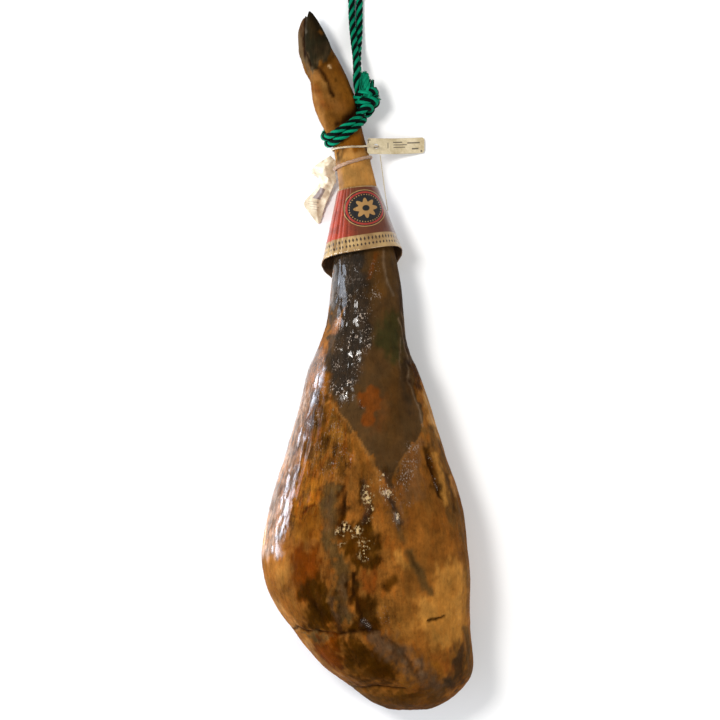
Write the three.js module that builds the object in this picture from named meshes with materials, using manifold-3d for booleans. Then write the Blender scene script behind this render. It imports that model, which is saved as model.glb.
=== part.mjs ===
// A whole cured ham that was hung by its trotter and now lies on its inner side.
// Millimetres. +Y runs along the leg to the hoof, +Z points up, away from the floor at Z = 0,
// and the origin is the middle of the ham's footprint.

import * as THREE from 'three';
import { mergeVertices } from 'three/addons/utils/BufferGeometryUtils.js';
import Module from 'manifold-3d';

const wasm = await Module();
wasm.setup();

const MERGE_DISTANCE = 1e-4;

// The ham's outline, one cut across the leg at each station, from the hoof to the butt end.
// widest is the height at which the cut reaches its left and right sides.
const STATIONS = [
  { name: 'coronet', y: 373, left: -71, right: -50, low: 12, high: 38, widest: 25 },
  { name: 'pastern', y: 364, left: -76, right: -43.8, low: 8, high: 42, widest: 25 },
  { name: 'dewclaws', y: 331, left: -67.5, right: -26.9, low: 7.5, high: 46, widest: 26 },
  { name: 'fetlock', y: 298, left: -63.8, right: -13.4, low: 9, high: 50, widest: 28 },
  { name: 'rope seat', y: 275.5, left: -55.5, right: -9.9, low: 11, high: 50, widest: 30 },
  { name: 'ankle', y: 248, left: -40.8, right: -3.5, low: 14, high: 52, widest: 33 },
  { name: 'cannon', y: 224.5, left: -37.3, right: 3, low: 16, high: 56, widest: 36 },
  { name: 'label top', y: 199, left: -34, right: 9.4, low: 19, high: 61, widest: 40 },
  { name: 'calf', y: 165, left: -32, right: 17, low: 20, high: 69, widest: 45 },
  { name: 'label foot', y: 124.4, left: -39.4, right: 30.1, low: 17, high: 84, widest: 50 },
  { name: 'hock', y: 84.9, left: -41.7, right: 37, low: 13, high: 93, widest: 53 },
  { name: 'shin', y: 37.4, left: -48, right: 41, low: 7, high: 102, widest: 56 },
  { name: 'knee', y: 8.5, left: -58.3, right: 46.1, low: 3, high: 109, widest: 58 },
  { name: 'stifle', y: -14.5, left: -68.7, right: 56.5, low: 0, high: 114, widest: 60 },
  { name: 'upper thigh', y: -54.8, left: -78.4, right: 70.7, low: -3, high: 123, widest: 62 },
  { name: 'thigh', y: -106.6, left: -92.7, right: 86.2, low: -4, high: 133, widest: 64 },
  { name: 'full thigh', y: -163.9, left: -109.9, right: 105.6, low: -4, high: 140, widest: 65 },
  { name: 'widest', y: -221.2, left: -121.3, right: 114.1, low: -4, high: 143, widest: 66 },
  { name: 'rump', y: -255.6, left: -117.8, right: 116.8, low: -4, high: 142, widest: 66 },
  { name: 'hip', y: -290.1, left: -102.3, right: 115.9, low: -4, high: 138, widest: 66 },
  { name: 'hip joint', y: -315.6, left: -82.9, right: 117.1, low: -3, high: 132, widest: 65 },
  { name: 'butt', y: -336.7, left: -66, right: 120.1, low: 0, high: 125, widest: 64 },
  { name: 'butt slope', y: -357.7, left: -47, right: 120.8, low: 5, high: 117, widest: 62 },
  { name: 'butt edge', y: -371.9, left: -28, right: 115.2, low: 10, high: 106, widest: 60 },
  { name: 'butt round', y: -386.3, left: -9, right: 102.7, low: 18, high: 93, widest: 57 },
  { name: 'butt close', y: -397.1, left: 6, right: 88.9, low: 27, high: 81, widest: 55 },
  { name: 'butt end', y: -405.2, left: 24, right: 73, low: 43, high: 64, widest: 53 },
];
const SECTION_SIDES = 40;
const ROW_STEPS = [
  { above: 0, step: 12 },
  { above: -340, step: 10 },
  { above: -410, step: 6 },
];
const LAST_ROW_GAP = 2;
const ROUNDNESS_ABOVE = 2.12;
const ROUNDNESS_BELOW = 2.2;

// What would reach below the floor is cut off, which flattens the resting side.
const UNDER_FLOOR = { width: 400, length: 1000, depth: 100 };

// Hollows (negative) and swellings (positive) of the shown side: middle, reach along and across
// its own direction, and height.
const SWELLINGS = [
  { name: 'meat pocket', x: -11, y: -206, along: 27, across: 17, turn: 90, height: -5 },
  { name: 'groove beside the stifle', x: 72, y: -134, along: 36, across: 7, turn: 108, height: -5.5 },
  { name: 'shank tendon', x: 38, y: 45, along: 55, across: 6, turn: 107, height: 3 },
  { name: 'hollow beside the tendon', x: 22, y: 55, along: 45, across: 7, turn: 104, height: -2.5 },
  { name: 'fat cushion', x: 78, y: -268, along: 45, across: 28, turn: 80, height: 3.5 },
  { name: 'rump cushion', x: -70, y: -250, along: 40, across: 30, turn: 60, height: 2.5 },
  { name: 'skin tongue', x: 22, y: -80, along: 70, across: 26, turn: 96, height: 2 },
];

// How fast the relief fades from the top of a cut towards its sides.
const RELIEF_FADE = 0.7;

// Creases across the butt, as points on their bottoms.
const CREASES = [
  { points: [[-84, -306], [-40, -310], [-22, -304], [14, -303]], width: 6, depth: 4 },
  { points: [[-38, -363], [-13, -375], [10, -371], [40, -375]], width: 6, depth: 4.5 },
];

// The two main claws and the two dewclaws: a curved middle line, with half width and half depth
// at each of its points.
const CLAWS = [
  {
    name: 'outer claw',
    line: [[-55.5, 338, 31], [-58.8, 359.4, 32], [-62.8, 380.2, 33], [-66.4, 396.6, 33], [-69, 405.6, 32]],
    halfWidths: [16, 17.2, 11.2, 5.4, 0.9],
    halfDepths: [13, 12.5, 10.5, 6, 1.2],
  },
  {
    name: 'inner claw',
    line: [
      [-54, 316, 22], [-62.5, 338, 19], [-69, 360, 17], [-73.4, 382.1, 17], [-73.6, 394.8, 18],
      [-72.6, 402.2, 19],
    ],
    halfWidths: [7, 11.5, 12.5, 9.5, 5, 0.9],
    halfDepths: [6, 9.5, 11, 9.5, 6, 1.2],
  },
  {
    name: 'outer dewclaw',
    line: [[-48.5, 296, 40], [-53, 311, 44], [-59, 325, 43.5], [-63.5, 337, 41]],
    halfWidths: [9.5, 9, 5, 0.8],
    halfDepths: [6, 6.5, 4.5, 0.8],
  },
  {
    name: 'inner dewclaw',
    line: [[-48.5, 296, 15], [-53, 311, 11], [-60, 325, 10.5], [-64.5, 337, 13]],
    halfWidths: [9.5, 9, 5, 0.8],
    halfDepths: [6, 6.5, 4.5, 0.8],
  },
];
const CLAW_SIDES = 12;
const CLAW_ROWS = 11;

// The hanging rope: two turns round the trotter, a knot beside it and a loop of doubled rope.
const ROPE_DIAMETER = 8.4;
const ROPE_SIDES = 8;
const ROPE_DENT = 0.4;
const NOOSE_MIDDLE_Y = 268;
const NOOSE_RISE = 16;
const NOOSE_TURN = 25;
const NOOSE_OFFSET = 5.2;
const NOOSE_SPACING = 7.2;
const NOOSE_STEPS = 26;
const KNOT_STRANDS = [
  [[-13.2, 330.7, 35.4], [-12.6, 318, 39], [-9.5, 304, 41], [-7, 293, 40], [-6.2, 285, 38]],
  [[-11.2, 330.7, 24.4], [-10.6, 318, 27.2], [-6.2, 304, 28], [-3.8, 293, 26], [-4.2, 284, 25]],
  [[1, 297, 42], [-0.8, 309, 46], [-2.4, 319, 46.5], [-3.4, 328.5, 45]],
];
const KNOT_WRAPS = [
  { middle: [-2.6, 305.5, 34.5], across: [10.6, 3.4, 0], over: [0, 2.5, 12.4] },
  { middle: [-1.2, 296.5, 34], across: [10.4, 1.5, 0], over: [0, 2.5, 11.4] },
  { middle: [-3.5, 287, 35], across: [7, 3.6, 0], over: [0, 2.5, 11.4] },
];
const WRAP_STEPS = 14;
const STRAND_STEPS = 6;
const LOOP_ROUTE = [
  [-13.2, 331.1, 35.3], [-13.7, 342, 32.2], [-14.3, 354, 27], [-15.8, 367, 20.6], [-17.2, 380, 14.3],
  [-18.3, 393, 9], [-19, 406, 5.5], [-19.3, 420, 4.3], [-20.2, 434, 4.3], [-23.2, 447, 4.3],
  [-28, 459, 4.3], [-31.4, 471, 4.3], [-30.8, 484, 4.3], [-24.5, 494.2, 4.3], [-14.6, 498, 4.3],
  [-4.7, 494.2, 4.3], [1.6, 484, 4.3], [2.2, 471, 4.3], [-1.2, 459, 4.3], [-6, 447, 4.3],
  [-9, 434, 4.3], [-9.9, 420, 4.3], [-10, 406, 4.3], [-10, 393, 4.9], [-10.4, 380, 7.4],
  [-11.2, 367, 11.6], [-11.8, 354, 16.8], [-11.7, 342, 21.9], [-11.2, 331.1, 24.3],
];
const LOOP_STEPS = 66;

// The paper cone round the shank, open at its foot.
const CONE_THICKNESS = 0.8;
const CONE_TOP = { x: -12, y: 195.3, z: 40.6, radius: 23.4, slope: 2.4, lean: 1.8, sag: 0 };
const CONE_FOOT = { x: -7, y: 114.8, z: 48.2, radius: 46.6, slope: 7.5, lean: 17, sag: 10 };
const CONE_SIDES = 40;
const CONE_ROWS = 2;

// The two strings round the ankle. Their turn is measured from the right side, over the front.
const UPPER_TIE = { diameter: 2.4, leftY: 242.4, rightY: 244.8, from: 52, to: 308, gap: 0.5, steps: 44 };
const UPPER_TIE_END = [
  [-1, 245, 49.3], [5, 245.3, 46.8], [10.4, 245.5, 43.8], [12, 245.5, 40.2],
  [9.4, 245.4, 36.4], [6.4, 245.3, 32.8], [2, 244.8, 25.5],
];
const LOWER_TIE = { diameter: 4, leftY: 219.5, rightY: 233.4, from: 0, to: 345, gap: 0.6, steps: 36 };
const TIE_ANGLE_STEP = 15;
const TIE_SIDES = 6;

// The card on the upper string. Its free end lies lower than its tied end.
const CARD = { left: -1, right: 67, tiedY: 245.5, freeY: 251.8, halfHeight: 9.2, thickness: 0.9 };
const CARD_LOW = 4;
const CARD_RISE = 42;
const CARD_BEND = 1.5;
const CARD_COLUMNS = 14;
const CARD_CORNER = 3;
const CARD_HOLE = { x: 9.4, y: 245.4, z: 36, radius: 2.9, sides: 12 };
const PUNCH_LENGTH = 60;

// The crumpled paper strip behind the ankle, as rows of points across it from the tie downwards.
const STRIP_THICKNESS = 0.9;
const STRIP_ROWS = [
  [[-44, 237, 22], [-40, 233, 19.5], [-36.5, 229, 17]],
  [[-61.5, 226, 18], [-50, 223, 24], [-38.5, 218, 16]],
  [[-67, 219, 11], [-53, 216.5, 20], [-38, 212.5, 14]],
  [[-56.8, 210.5, 9], [-47, 211, 16.5], [-37.8, 207.5, 12]],
  [[-62, 199, 6], [-52, 200, 11], [-42, 200, 9.5]],
  [[-75.5, 183.3, 3], [-60, 185, 8], [-46, 190, 8]],
  [[-68.5, 170.5, 2.4], [-60, 171, 5], [-51, 178.3, 5]],
  [[-60.5, 159.8, 1.6], [-58.3, 158.6, 2], [-56, 160.2, 2.2]],
];
const STRIP_REFINE = 2;

// The thin thread from the card to the cone.
const THREAD_DIAMETER = 1.2;
const THREAD_ROUTE = [[14.2, 236.9, 32.2], [16.4, 219, 36], [19.4, 195, 41], [23, 170.5, 45.2]];
const THREAD_STEPS = 8;

const vector = (point) => new THREE.Vector3(point[0], point[1], point[2]);

// Smooth value of one measure of the stations at any place along the leg.
function measureAt(key, y) {
  let i = 1;
  while (i < STATIONS.length - 1 && STATIONS[i].y > y) i += 1;
  const slopeAt = (n) => {
    const before = STATIONS[Math.max(n - 1, 0)];
    const after = STATIONS[Math.min(n + 1, STATIONS.length - 1)];
    return (after[key] - before[key]) / (after.y - before.y);
  };
  const a = STATIONS[i - 1];
  const b = STATIONS[i];
  const span = b.y - a.y;
  const t = (y - a.y) / span;
  const t2 = t * t;
  const t3 = t2 * t;
  return a[key] * (2 * t3 - 3 * t2 + 1) + b[key] * (3 * t2 - 2 * t3)
    + slopeAt(i - 1) * span * (t3 - 2 * t2 + t) + slopeAt(i) * span * (t3 - t2);
}

// Point on the ham's plain skin, or a distance outside it, at a turn round the leg in radians.
function skinPoint(y, turn, offset = 0) {
  const left = measureAt('left', y) - offset;
  const right = measureAt('right', y) + offset;
  const widest = measureAt('widest', y);
  const above = Math.sin(turn) >= 0;
  const reach = (above ? measureAt('high', y) - widest : widest - measureAt('low', y)) + offset;
  const power = 2 / (above ? ROUNDNESS_ABOVE : ROUNDNESS_BELOW);
  const across = Math.sign(Math.cos(turn)) * Math.abs(Math.cos(turn)) ** power;
  const up = Math.sign(Math.sin(turn)) * Math.abs(Math.sin(turn)) ** power;
  return new THREE.Vector3((left + right) / 2 + across * (right - left) / 2, y, widest + up * reach);
}

function distanceToSegment(x, y, a, b) {
  const dx = b[0] - a[0];
  const dy = b[1] - a[1];
  const t = THREE.MathUtils.clamp(((x - a[0]) * dx + (y - a[1]) * dy) / (dx * dx + dy * dy), 0, 1);
  return Math.hypot(x - a[0] - t * dx, y - a[1] - t * dy);
}

// Height of the relief above the plain skin of the shown side.
function reliefAt(x, y) {
  let height = 0;
  for (const swelling of SWELLINGS) {
    const turn = THREE.MathUtils.degToRad(swelling.turn);
    const dx = x - swelling.x;
    const dy = y - swelling.y;
    const u = (dx * Math.cos(turn) + dy * Math.sin(turn)) / swelling.along;
    const v = (dy * Math.cos(turn) - dx * Math.sin(turn)) / swelling.across;
    height += swelling.height * Math.exp(-u * u - v * v);
  }
  for (const crease of CREASES) {
    let near = Infinity;
    for (let i = 1; i < crease.points.length; i += 1) {
      near = Math.min(near, distanceToSegment(x, y, crease.points[i - 1], crease.points[i]));
    }
    height -= crease.depth * Math.exp(-((near / crease.width) ** 2));
  }
  return height;
}

// Closed solid from rings of points, each ring going round the same way, capped by a middle point.
function solidFromRings(rings) {
  const sides = rings[0].length;
  const positions = [];
  for (const ring of rings) for (const point of ring) positions.push(point.x, point.y, point.z);
  const middle = (ring) => ring.reduce((sum, p) => sum.add(p), new THREE.Vector3()).divideScalar(sides);
  const first = middle(rings[0]);
  const last = middle(rings[rings.length - 1]);
  positions.push(first.x, first.y, first.z, last.x, last.y, last.z);
  const indices = [];
  const corner = (row, i) => row * sides + (i % sides);
  for (let row = 0; row < rings.length - 1; row += 1) {
    for (let i = 0; i < sides; i += 1) {
      indices.push(corner(row, i), corner(row, i + 1), corner(row + 1, i + 1));
      indices.push(corner(row, i), corner(row + 1, i + 1), corner(row + 1, i));
    }
  }
  const firstIndex = rings.length * sides;
  for (let i = 0; i < sides; i += 1) {
    indices.push(firstIndex, corner(0, i + 1), corner(0, i));
    indices.push(firstIndex + 1, corner(rings.length - 1, i), corner(rings.length - 1, i + 1));
  }
  return outward(positions, indices);
}

// Geometry whose faces all point out, whichever way round its rings were given.
function outward(positions, indices) {
  let volume = 0;
  const a = new THREE.Vector3();
  const b = new THREE.Vector3();
  const c = new THREE.Vector3();
  for (let i = 0; i < indices.length; i += 3) {
    a.fromArray(positions, 3 * indices[i]);
    b.fromArray(positions, 3 * indices[i + 1]);
    c.fromArray(positions, 3 * indices[i + 2]);
    volume += a.dot(b.cross(c));
  }
  if (volume < 0) {
    for (let i = 0; i < indices.length; i += 3) {
      [indices[i + 1], indices[i + 2]] = [indices[i + 2], indices[i + 1]];
    }
  }
  const geometry = new THREE.BufferGeometry();
  geometry.setAttribute('position', new THREE.Float32BufferAttribute(positions, 3));
  geometry.setIndex(indices);
  return geometry;
}

// Thin closed solid between a grid of points and the same grid a wall thickness below it.
// With closedAcross the rows are rings.
function sheetSolid(rows, below, closedAcross) {
  const across = rows[0].length;
  const down = rows.length;
  const positions = [];
  for (const row of rows) for (const point of row) positions.push(point.x, point.y, point.z);
  for (const row of below) for (const point of row) positions.push(point.x, point.y, point.z);
  const half = across * down;
  const indices = [];
  const quad = (a, b, c, d) => indices.push(a, b, c, a, c, d);
  const cell = closedAcross ? across : across - 1;
  for (let r = 0; r < down - 1; r += 1) {
    for (let i = 0; i < cell; i += 1) {
      const a = r * across + i;
      const b = r * across + ((i + 1) % across);
      quad(a, b, b + across, a + across);
      quad(half + b, half + a, half + a + across, half + b + across);
    }
  }
  const lastRow = (down - 1) * across;
  for (let i = 0; i < cell; i += 1) {
    const next = (i + 1) % across;
    quad(i, half + i, half + next, next);
    quad(lastRow + next, half + lastRow + next, half + lastRow + i, lastRow + i);
  }
  if (!closedAcross) {
    for (let r = 0; r < down - 1; r += 1) {
      const a = r * across;
      const b = a + across - 1;
      quad(a + across, half + a + across, half + a, a);
      quad(b, half + b, half + b + across, b + across);
    }
  }
  return outward(positions, indices);
}

function toSolid(geometry) {
  const bare = geometry.clone();
  bare.deleteAttribute('normal');
  bare.deleteAttribute('uv');
  const merged = mergeVertices(bare, MERGE_DISTANCE);
  return new wasm.Manifold(new wasm.Mesh({
    numProp: 3,
    vertProperties: new Float32Array(merged.attributes.position.array),
    triVerts: new Uint32Array(merged.index.array),
  }));
}

function toGeometry(solid) {
  const mesh = solid.getMesh();
  const geometry = new THREE.BufferGeometry();
  geometry.setAttribute('position', new THREE.BufferAttribute(new Float32Array(mesh.vertProperties), 3));
  geometry.setIndex(new THREE.BufferAttribute(new Uint32Array(mesh.triVerts), 1));
  return geometry;
}

function roundSection(radius, sides) {
  const section = new THREE.Shape();
  for (let i = 0; i < sides; i += 1) {
    const turn = (2 * Math.PI * i) / sides;
    const x = radius * Math.cos(turn);
    const y = radius * Math.sin(turn);
    if (i === 0) section.moveTo(x, y);
    else section.lineTo(x, y);
  }
  section.closePath();
  return section;
}

function openTube(curve, radius, sides, steps) {
  return new THREE.ExtrudeGeometry(roundSection(radius, sides), { steps, extrudePath: curve });
}

function closedTube(points, radius, sides, steps) {
  const curve = new THREE.CatmullRomCurve3(points, true, 'centripetal');
  return new THREE.TubeGeometry(curve, steps, radius, sides, true);
}

function smoothLine(points) {
  return new THREE.CatmullRomCurve3(points.map(vector), false, 'centripetal');
}

// The body, shank and trotter in one, with the relief of the shown side.
function legGeometry() {
  const top = STATIONS[0].y;
  const bottom = STATIONS[STATIONS.length - 1].y;
  const rows = [];
  for (let y = top; y > bottom + LAST_ROW_GAP;) {
    rows.push(y);
    y -= ROW_STEPS.find((zone) => y > zone.above).step;
  }
  rows.push(bottom);
  const rings = rows.map((y) => {
    const ring = [];
    const middleX = (measureAt('left', y) + measureAt('right', y)) / 2;
    const middleZ = measureAt('widest', y);
    for (let i = 0; i < SECTION_SIDES; i += 1) {
      const turn = (2 * Math.PI * i) / SECTION_SIDES;
      const point = skinPoint(y, turn);
      const facing = Math.max(Math.sin(turn), 0) ** RELIEF_FADE;
      const outwardWay = new THREE.Vector3(point.x - middleX, 0, point.z - middleZ).normalize();
      ring.push(point.addScaledVector(outwardWay, reliefAt(point.x, y) * facing));
    }
    return ring;
  });
  return solidFromRings(rings);
}

// A claw: an oval section that follows a curved line and shrinks to its tip.
function clawGeometry(claw) {
  const line = smoothLine(claw.line);
  const sizeAt = (sizes, t) => {
    const place = t * (sizes.length - 1);
    const i = Math.min(Math.floor(place), sizes.length - 2);
    return THREE.MathUtils.lerp(sizes[i], sizes[i + 1], place - i);
  };
  const rings = [];
  for (let row = 0; row < CLAW_ROWS; row += 1) {
    const t = row / (CLAW_ROWS - 1);
    const middle = line.getPoint(t);
    const ahead = line.getTangent(t);
    const side = new THREE.Vector3(0, 0, 1).cross(ahead).normalize();
    const up = new THREE.Vector3().crossVectors(ahead, side).normalize();
    const ring = [];
    for (let i = 0; i < CLAW_SIDES; i += 1) {
      const turn = (2 * Math.PI * i) / CLAW_SIDES;
      ring.push(middle.clone()
        .addScaledVector(side, Math.cos(turn) * sizeAt(claw.halfWidths, t))
        .addScaledVector(up, Math.sin(turn) * sizeAt(claw.halfDepths, t)));
    }
    rings.push(ring);
  }
  return solidFromRings(rings);
}

// One turn of the noose, shifted along the leg.
function nooseTurn(shift) {
  const points = [];
  for (let i = 0; i < NOOSE_STEPS; i += 1) {
    const turn = (2 * Math.PI * i) / NOOSE_STEPS;
    const rise = NOOSE_RISE * Math.cos(turn + THREE.MathUtils.degToRad(NOOSE_TURN));
    points.push(skinPoint(NOOSE_MIDDLE_Y + rise + shift, turn, NOOSE_OFFSET));
  }
  return points;
}

function wrapTurn(wrap) {
  const points = [];
  for (let i = 0; i < WRAP_STEPS; i += 1) {
    const turn = (2 * Math.PI * i) / WRAP_STEPS;
    points.push(vector(wrap.middle)
      .addScaledVector(vector(wrap.across), Math.cos(turn))
      .addScaledVector(vector(wrap.over), Math.sin(turn)));
  }
  return points;
}

// The noose and its knot as one solid, with the rope's radius grown by a given amount.
function nooseSolid(growth) {
  const radius = ROPE_DIAMETER / 2 + growth;
  const half = NOOSE_SPACING / 2 / Math.cos(THREE.MathUtils.degToRad(NOOSE_TURN));
  const pieces = [half, -half].map((shift) => closedTube(nooseTurn(shift), radius, ROPE_SIDES, NOOSE_STEPS));
  for (const wrap of KNOT_WRAPS) pieces.push(closedTube(wrapTurn(wrap), radius, ROPE_SIDES, WRAP_STEPS));
  for (const strand of KNOT_STRANDS) {
    pieces.push(openTube(smoothLine(strand), radius, ROPE_SIDES, STRAND_STEPS));
  }
  return pieces.map(toSolid).reduce((whole, piece) => whole.add(piece));
}

function hamGeometry() {
  const parts = [legGeometry(), ...CLAWS.map(clawGeometry)].map(toSolid);
  const whole = parts.reduce((sum, part) => sum.add(part));
  const underFloor = new THREE.BoxGeometry(UNDER_FLOOR.width, UNDER_FLOOR.length, UNDER_FLOOR.depth);
  underFloor.translate(0, 0, -UNDER_FLOOR.depth / 2);
  return toGeometry(whole.subtract(nooseSolid(ROPE_DENT)).subtract(toSolid(underFloor)));
}

// One ring of the paper cone, from its rim's centre, radius, sideways slope, lean and sag.
function coneRing(t, growth) {
  const value = (key) => THREE.MathUtils.lerp(CONE_TOP[key], CONE_FOOT[key], t);
  const ring = [];
  for (let i = 0; i < CONE_SIDES; i += 1) {
    const turn = (2 * Math.PI * i) / CONE_SIDES;
    const across = Math.cos(turn);
    const up = Math.sin(turn);
    ring.push(new THREE.Vector3(
      value('x') + across * (value('radius') + growth),
      value('y') + across * value('slope') + up * (value('lean') - value('sag') * up),
      value('z') + up * (value('radius') + growth),
    ));
  }
  return ring;
}

function coneGeometry() {
  const outer = [];
  const inner = [];
  for (let row = 0; row <= CONE_ROWS; row += 1) {
    outer.push(coneRing(row / CONE_ROWS, CONE_THICKNESS / 2));
    inner.push(coneRing(row / CONE_ROWS, -CONE_THICKNESS / 2));
  }
  return sheetSolid(outer, inner, true);
}

// The route of a string round the ankle, between two turns, with the points of its free end.
function tieRoute(tie, end) {
  const points = [];
  for (let angle = tie.from; angle <= tie.to; angle += TIE_ANGLE_STEP) {
    const turn = THREE.MathUtils.degToRad(angle);
    const y = THREE.MathUtils.lerp(tie.leftY, tie.rightY, (Math.cos(turn) + 1) / 2);
    points.push(skinPoint(y, turn, tie.diameter / 2 + tie.gap));
  }
  for (const point of [...end].reverse()) points.push(vector(point));
  return points;
}

function tieGeometry(tie, end) {
  return closedTube(tieRoute(tie, end), tie.diameter / 2, TIE_SIDES, tie.steps);
}

function cardGeometry() {
  const rows = [];
  const below = [];
  for (let i = 0; i <= CARD_COLUMNS; i += 1) {
    const t = i / CARD_COLUMNS;
    const x = THREE.MathUtils.lerp(CARD.left, CARD.right, t);
    const y = THREE.MathUtils.lerp(CARD.tiedY, CARD.freeY, t);
    const z = CARD_LOW + CARD_RISE * (1 - t) ** CARD_BEND;
    const rounded = i === 0 || i === CARD_COLUMNS ? CARD_CORNER : 0;
    const top = [];
    const under = [];
    for (const side of [-1, 0, 1]) {
      const place = new THREE.Vector3(x, y + side * (CARD.halfHeight - rounded), z);
      top.push(place);
      under.push(place.clone().add(new THREE.Vector3(0, 0, -CARD.thickness)));
    }
    rows.push(top);
    below.push(under);
  }
  const hole = new THREE.CylinderGeometry(CARD_HOLE.radius, CARD_HOLE.radius, PUNCH_LENGTH, CARD_HOLE.sides);
  hole.rotateX(Math.PI / 2).translate(CARD_HOLE.x, CARD_HOLE.y, CARD_HOLE.z);
  return toGeometry(toSolid(sheetSolid(rows, below, false)).subtract(toSolid(hole)));
}

// The crumpled strip, each pair of given rows joined through smooth rows between them.
function stripGeometry() {
  const columns = [0, 1, 2].map((column) => smoothLine(STRIP_ROWS.map((row) => row[column])));
  const steps = (STRIP_ROWS.length - 1) * STRIP_REFINE;
  const rows = [];
  const below = [];
  for (let i = 0; i <= steps; i += 1) {
    const across = columns.map((column) => column.getPoint(i / steps));
    const finer = [
      across[0],
      across[0].clone().lerp(across[1], 0.5),
      across[1],
      across[1].clone().lerp(across[2], 0.5),
      across[2],
    ];
    rows.push(finer);
    below.push(finer.map((point) => point.clone().add(new THREE.Vector3(0, 0, -STRIP_THICKNESS))));
  }
  return sheetSolid(rows, below, false);
}

function named(name, geometry, colour, roughness, metalness = 0) {
  const material = new THREE.MeshStandardMaterial({ color: colour, roughness, metalness });
  const mesh = new THREE.Mesh(geometry, material);
  mesh.name = name;
  return mesh;
}

const rope = smoothLine(LOOP_ROUTE);
const thread = smoothLine(THREAD_ROUTE);
const ham = named('ham', hamGeometry(), 0x6b4423, 0.4);
const group = new THREE.Group();
group.add(
  ham,
  named('rope_noose', toGeometry(nooseSolid(0)), 0x0b6b4f, 0.8),
  named('rope_loop', openTube(rope, ROPE_DIAMETER / 2, ROPE_SIDES, LOOP_STEPS), 0x0b6b4f, 0.8),
  named('paper_cone', coneGeometry(), 0xa83a2e, 0.3),
  named('upper_tie', tieGeometry(UPPER_TIE, UPPER_TIE_END), 0xd8cdb0, 0.8),
  named('lower_tie', tieGeometry(LOWER_TIE, []), 0xc9a892, 0.8),
  named('card_tag', cardGeometry(), 0xd8c9a4, 0.7),
  named('paper_strip', stripGeometry(), 0xd6c8a6, 0.7),
  named('thread', openTube(thread, THREAD_DIAMETER / 2, TIE_SIDES, THREAD_STEPS), 0xd9c9a6, 0.8),
);

// The origin is the middle of the ham's own footprint.
const reach = new THREE.Box3().setFromObject(ham, true);
group.position.set(-(reach.min.x + reach.max.x) / 2, -(reach.min.y + reach.max.y) / 2, 0);

export default group;
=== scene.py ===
"""A whole cured ham with its rope, paper cone and tags, lying on a pale floor under soft light."""

import math
from dataclasses import dataclass

import bpy
import numpy as np
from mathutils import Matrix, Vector


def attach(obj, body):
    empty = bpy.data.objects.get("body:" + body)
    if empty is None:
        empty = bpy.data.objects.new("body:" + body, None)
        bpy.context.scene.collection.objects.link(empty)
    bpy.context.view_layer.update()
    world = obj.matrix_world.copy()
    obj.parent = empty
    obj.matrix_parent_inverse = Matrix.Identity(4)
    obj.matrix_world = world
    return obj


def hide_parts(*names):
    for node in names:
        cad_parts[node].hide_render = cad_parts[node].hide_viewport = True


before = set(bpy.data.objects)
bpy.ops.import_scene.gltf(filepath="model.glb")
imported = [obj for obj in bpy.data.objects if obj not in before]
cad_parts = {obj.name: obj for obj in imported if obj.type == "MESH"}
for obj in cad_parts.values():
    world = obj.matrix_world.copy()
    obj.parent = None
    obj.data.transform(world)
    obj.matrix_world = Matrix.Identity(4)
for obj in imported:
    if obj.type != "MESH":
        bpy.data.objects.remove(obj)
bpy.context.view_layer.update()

MM = 0.001

# The camera looks straight down on the ham, with the hoof at the top of the picture.
PICTURE_PIXELS = 720
VIEW_CENTRE = (-9.1 * MM, -3.3 * MM)
VIEW_HEIGHT = 2065 * MM
FIELD_WIDTH = 828 * MM
FIELD_HEIGHT = 65 * MM

# The source is centred on the origin by moving it this much, in millimetres.
CENTRING = Vector((0.21, -0.34, 0))

# Routes, places and sizes are in millimetres, in the source's own frame, where MM doesn't say else.
# The rope: its route from the knot up to the bend and back, the knot's strands and wraps,
# the tufts of worn fibres on it, the noose, and how the strands are laid.
ROPE_DIAMETER = 8.4 * MM
LOOP_ROUTE = [
    (-13.2, 331.1, 35.3), (-13.7, 342, 32.2), (-14.3, 354, 27), (-15.8, 367, 20.6),
    (-17.2, 380, 14.3), (-18.3, 393, 9), (-19, 406, 5.5), (-19.3, 420, 4.3), (-20.2, 434, 4.3),
    (-23.2, 447, 4.3), (-28, 459, 4.3), (-31.4, 471, 4.3), (-30.8, 484, 4.3), (-24.5, 494.2, 4.3),
    (-14.6, 498, 4.3), (-4.7, 494.2, 4.3), (1.6, 484, 4.3), (2.2, 471, 4.3), (-1.2, 459, 4.3),
    (-6, 447, 4.3), (-9, 434, 4.3), (-9.9, 420, 4.3), (-10, 406, 4.3), (-10, 393, 4.9),
    (-10.4, 380, 7.4), (-11.2, 367, 11.6), (-11.8, 354, 16.8), (-11.7, 342, 21.9),
    (-11.2, 331.1, 24.3),
]
KNOT_STRANDS = [
    [(-13.2, 330.7, 35.4), (-12.6, 318, 39), (-9.5, 304, 41), (-7, 293, 40), (-6.2, 285, 38)],
    [(-11.2, 330.7, 24.4), (-10.6, 318, 27.2), (-6.2, 304, 28), (-3.8, 293, 26), (-4.2, 284, 25)],
    [(1, 297, 42), (-0.8, 309, 46), (-2.4, 319, 46.5), (-3.4, 328.5, 45)],
]
KNOT_WRAPS = [
    {"middle": (-2.6, 305.5, 34.5), "across": (10.6, 3.4, 0), "over": (0, 2.5, 12.4)},
    {"middle": (-1.2, 296.5, 34), "across": (10.4, 1.5, 0), "over": (0, 2.5, 11.4)},
    {"middle": (-3.5, 287, 35), "across": (7, 3.6, 0), "over": (0, 2.5, 11.4)},
]
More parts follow.
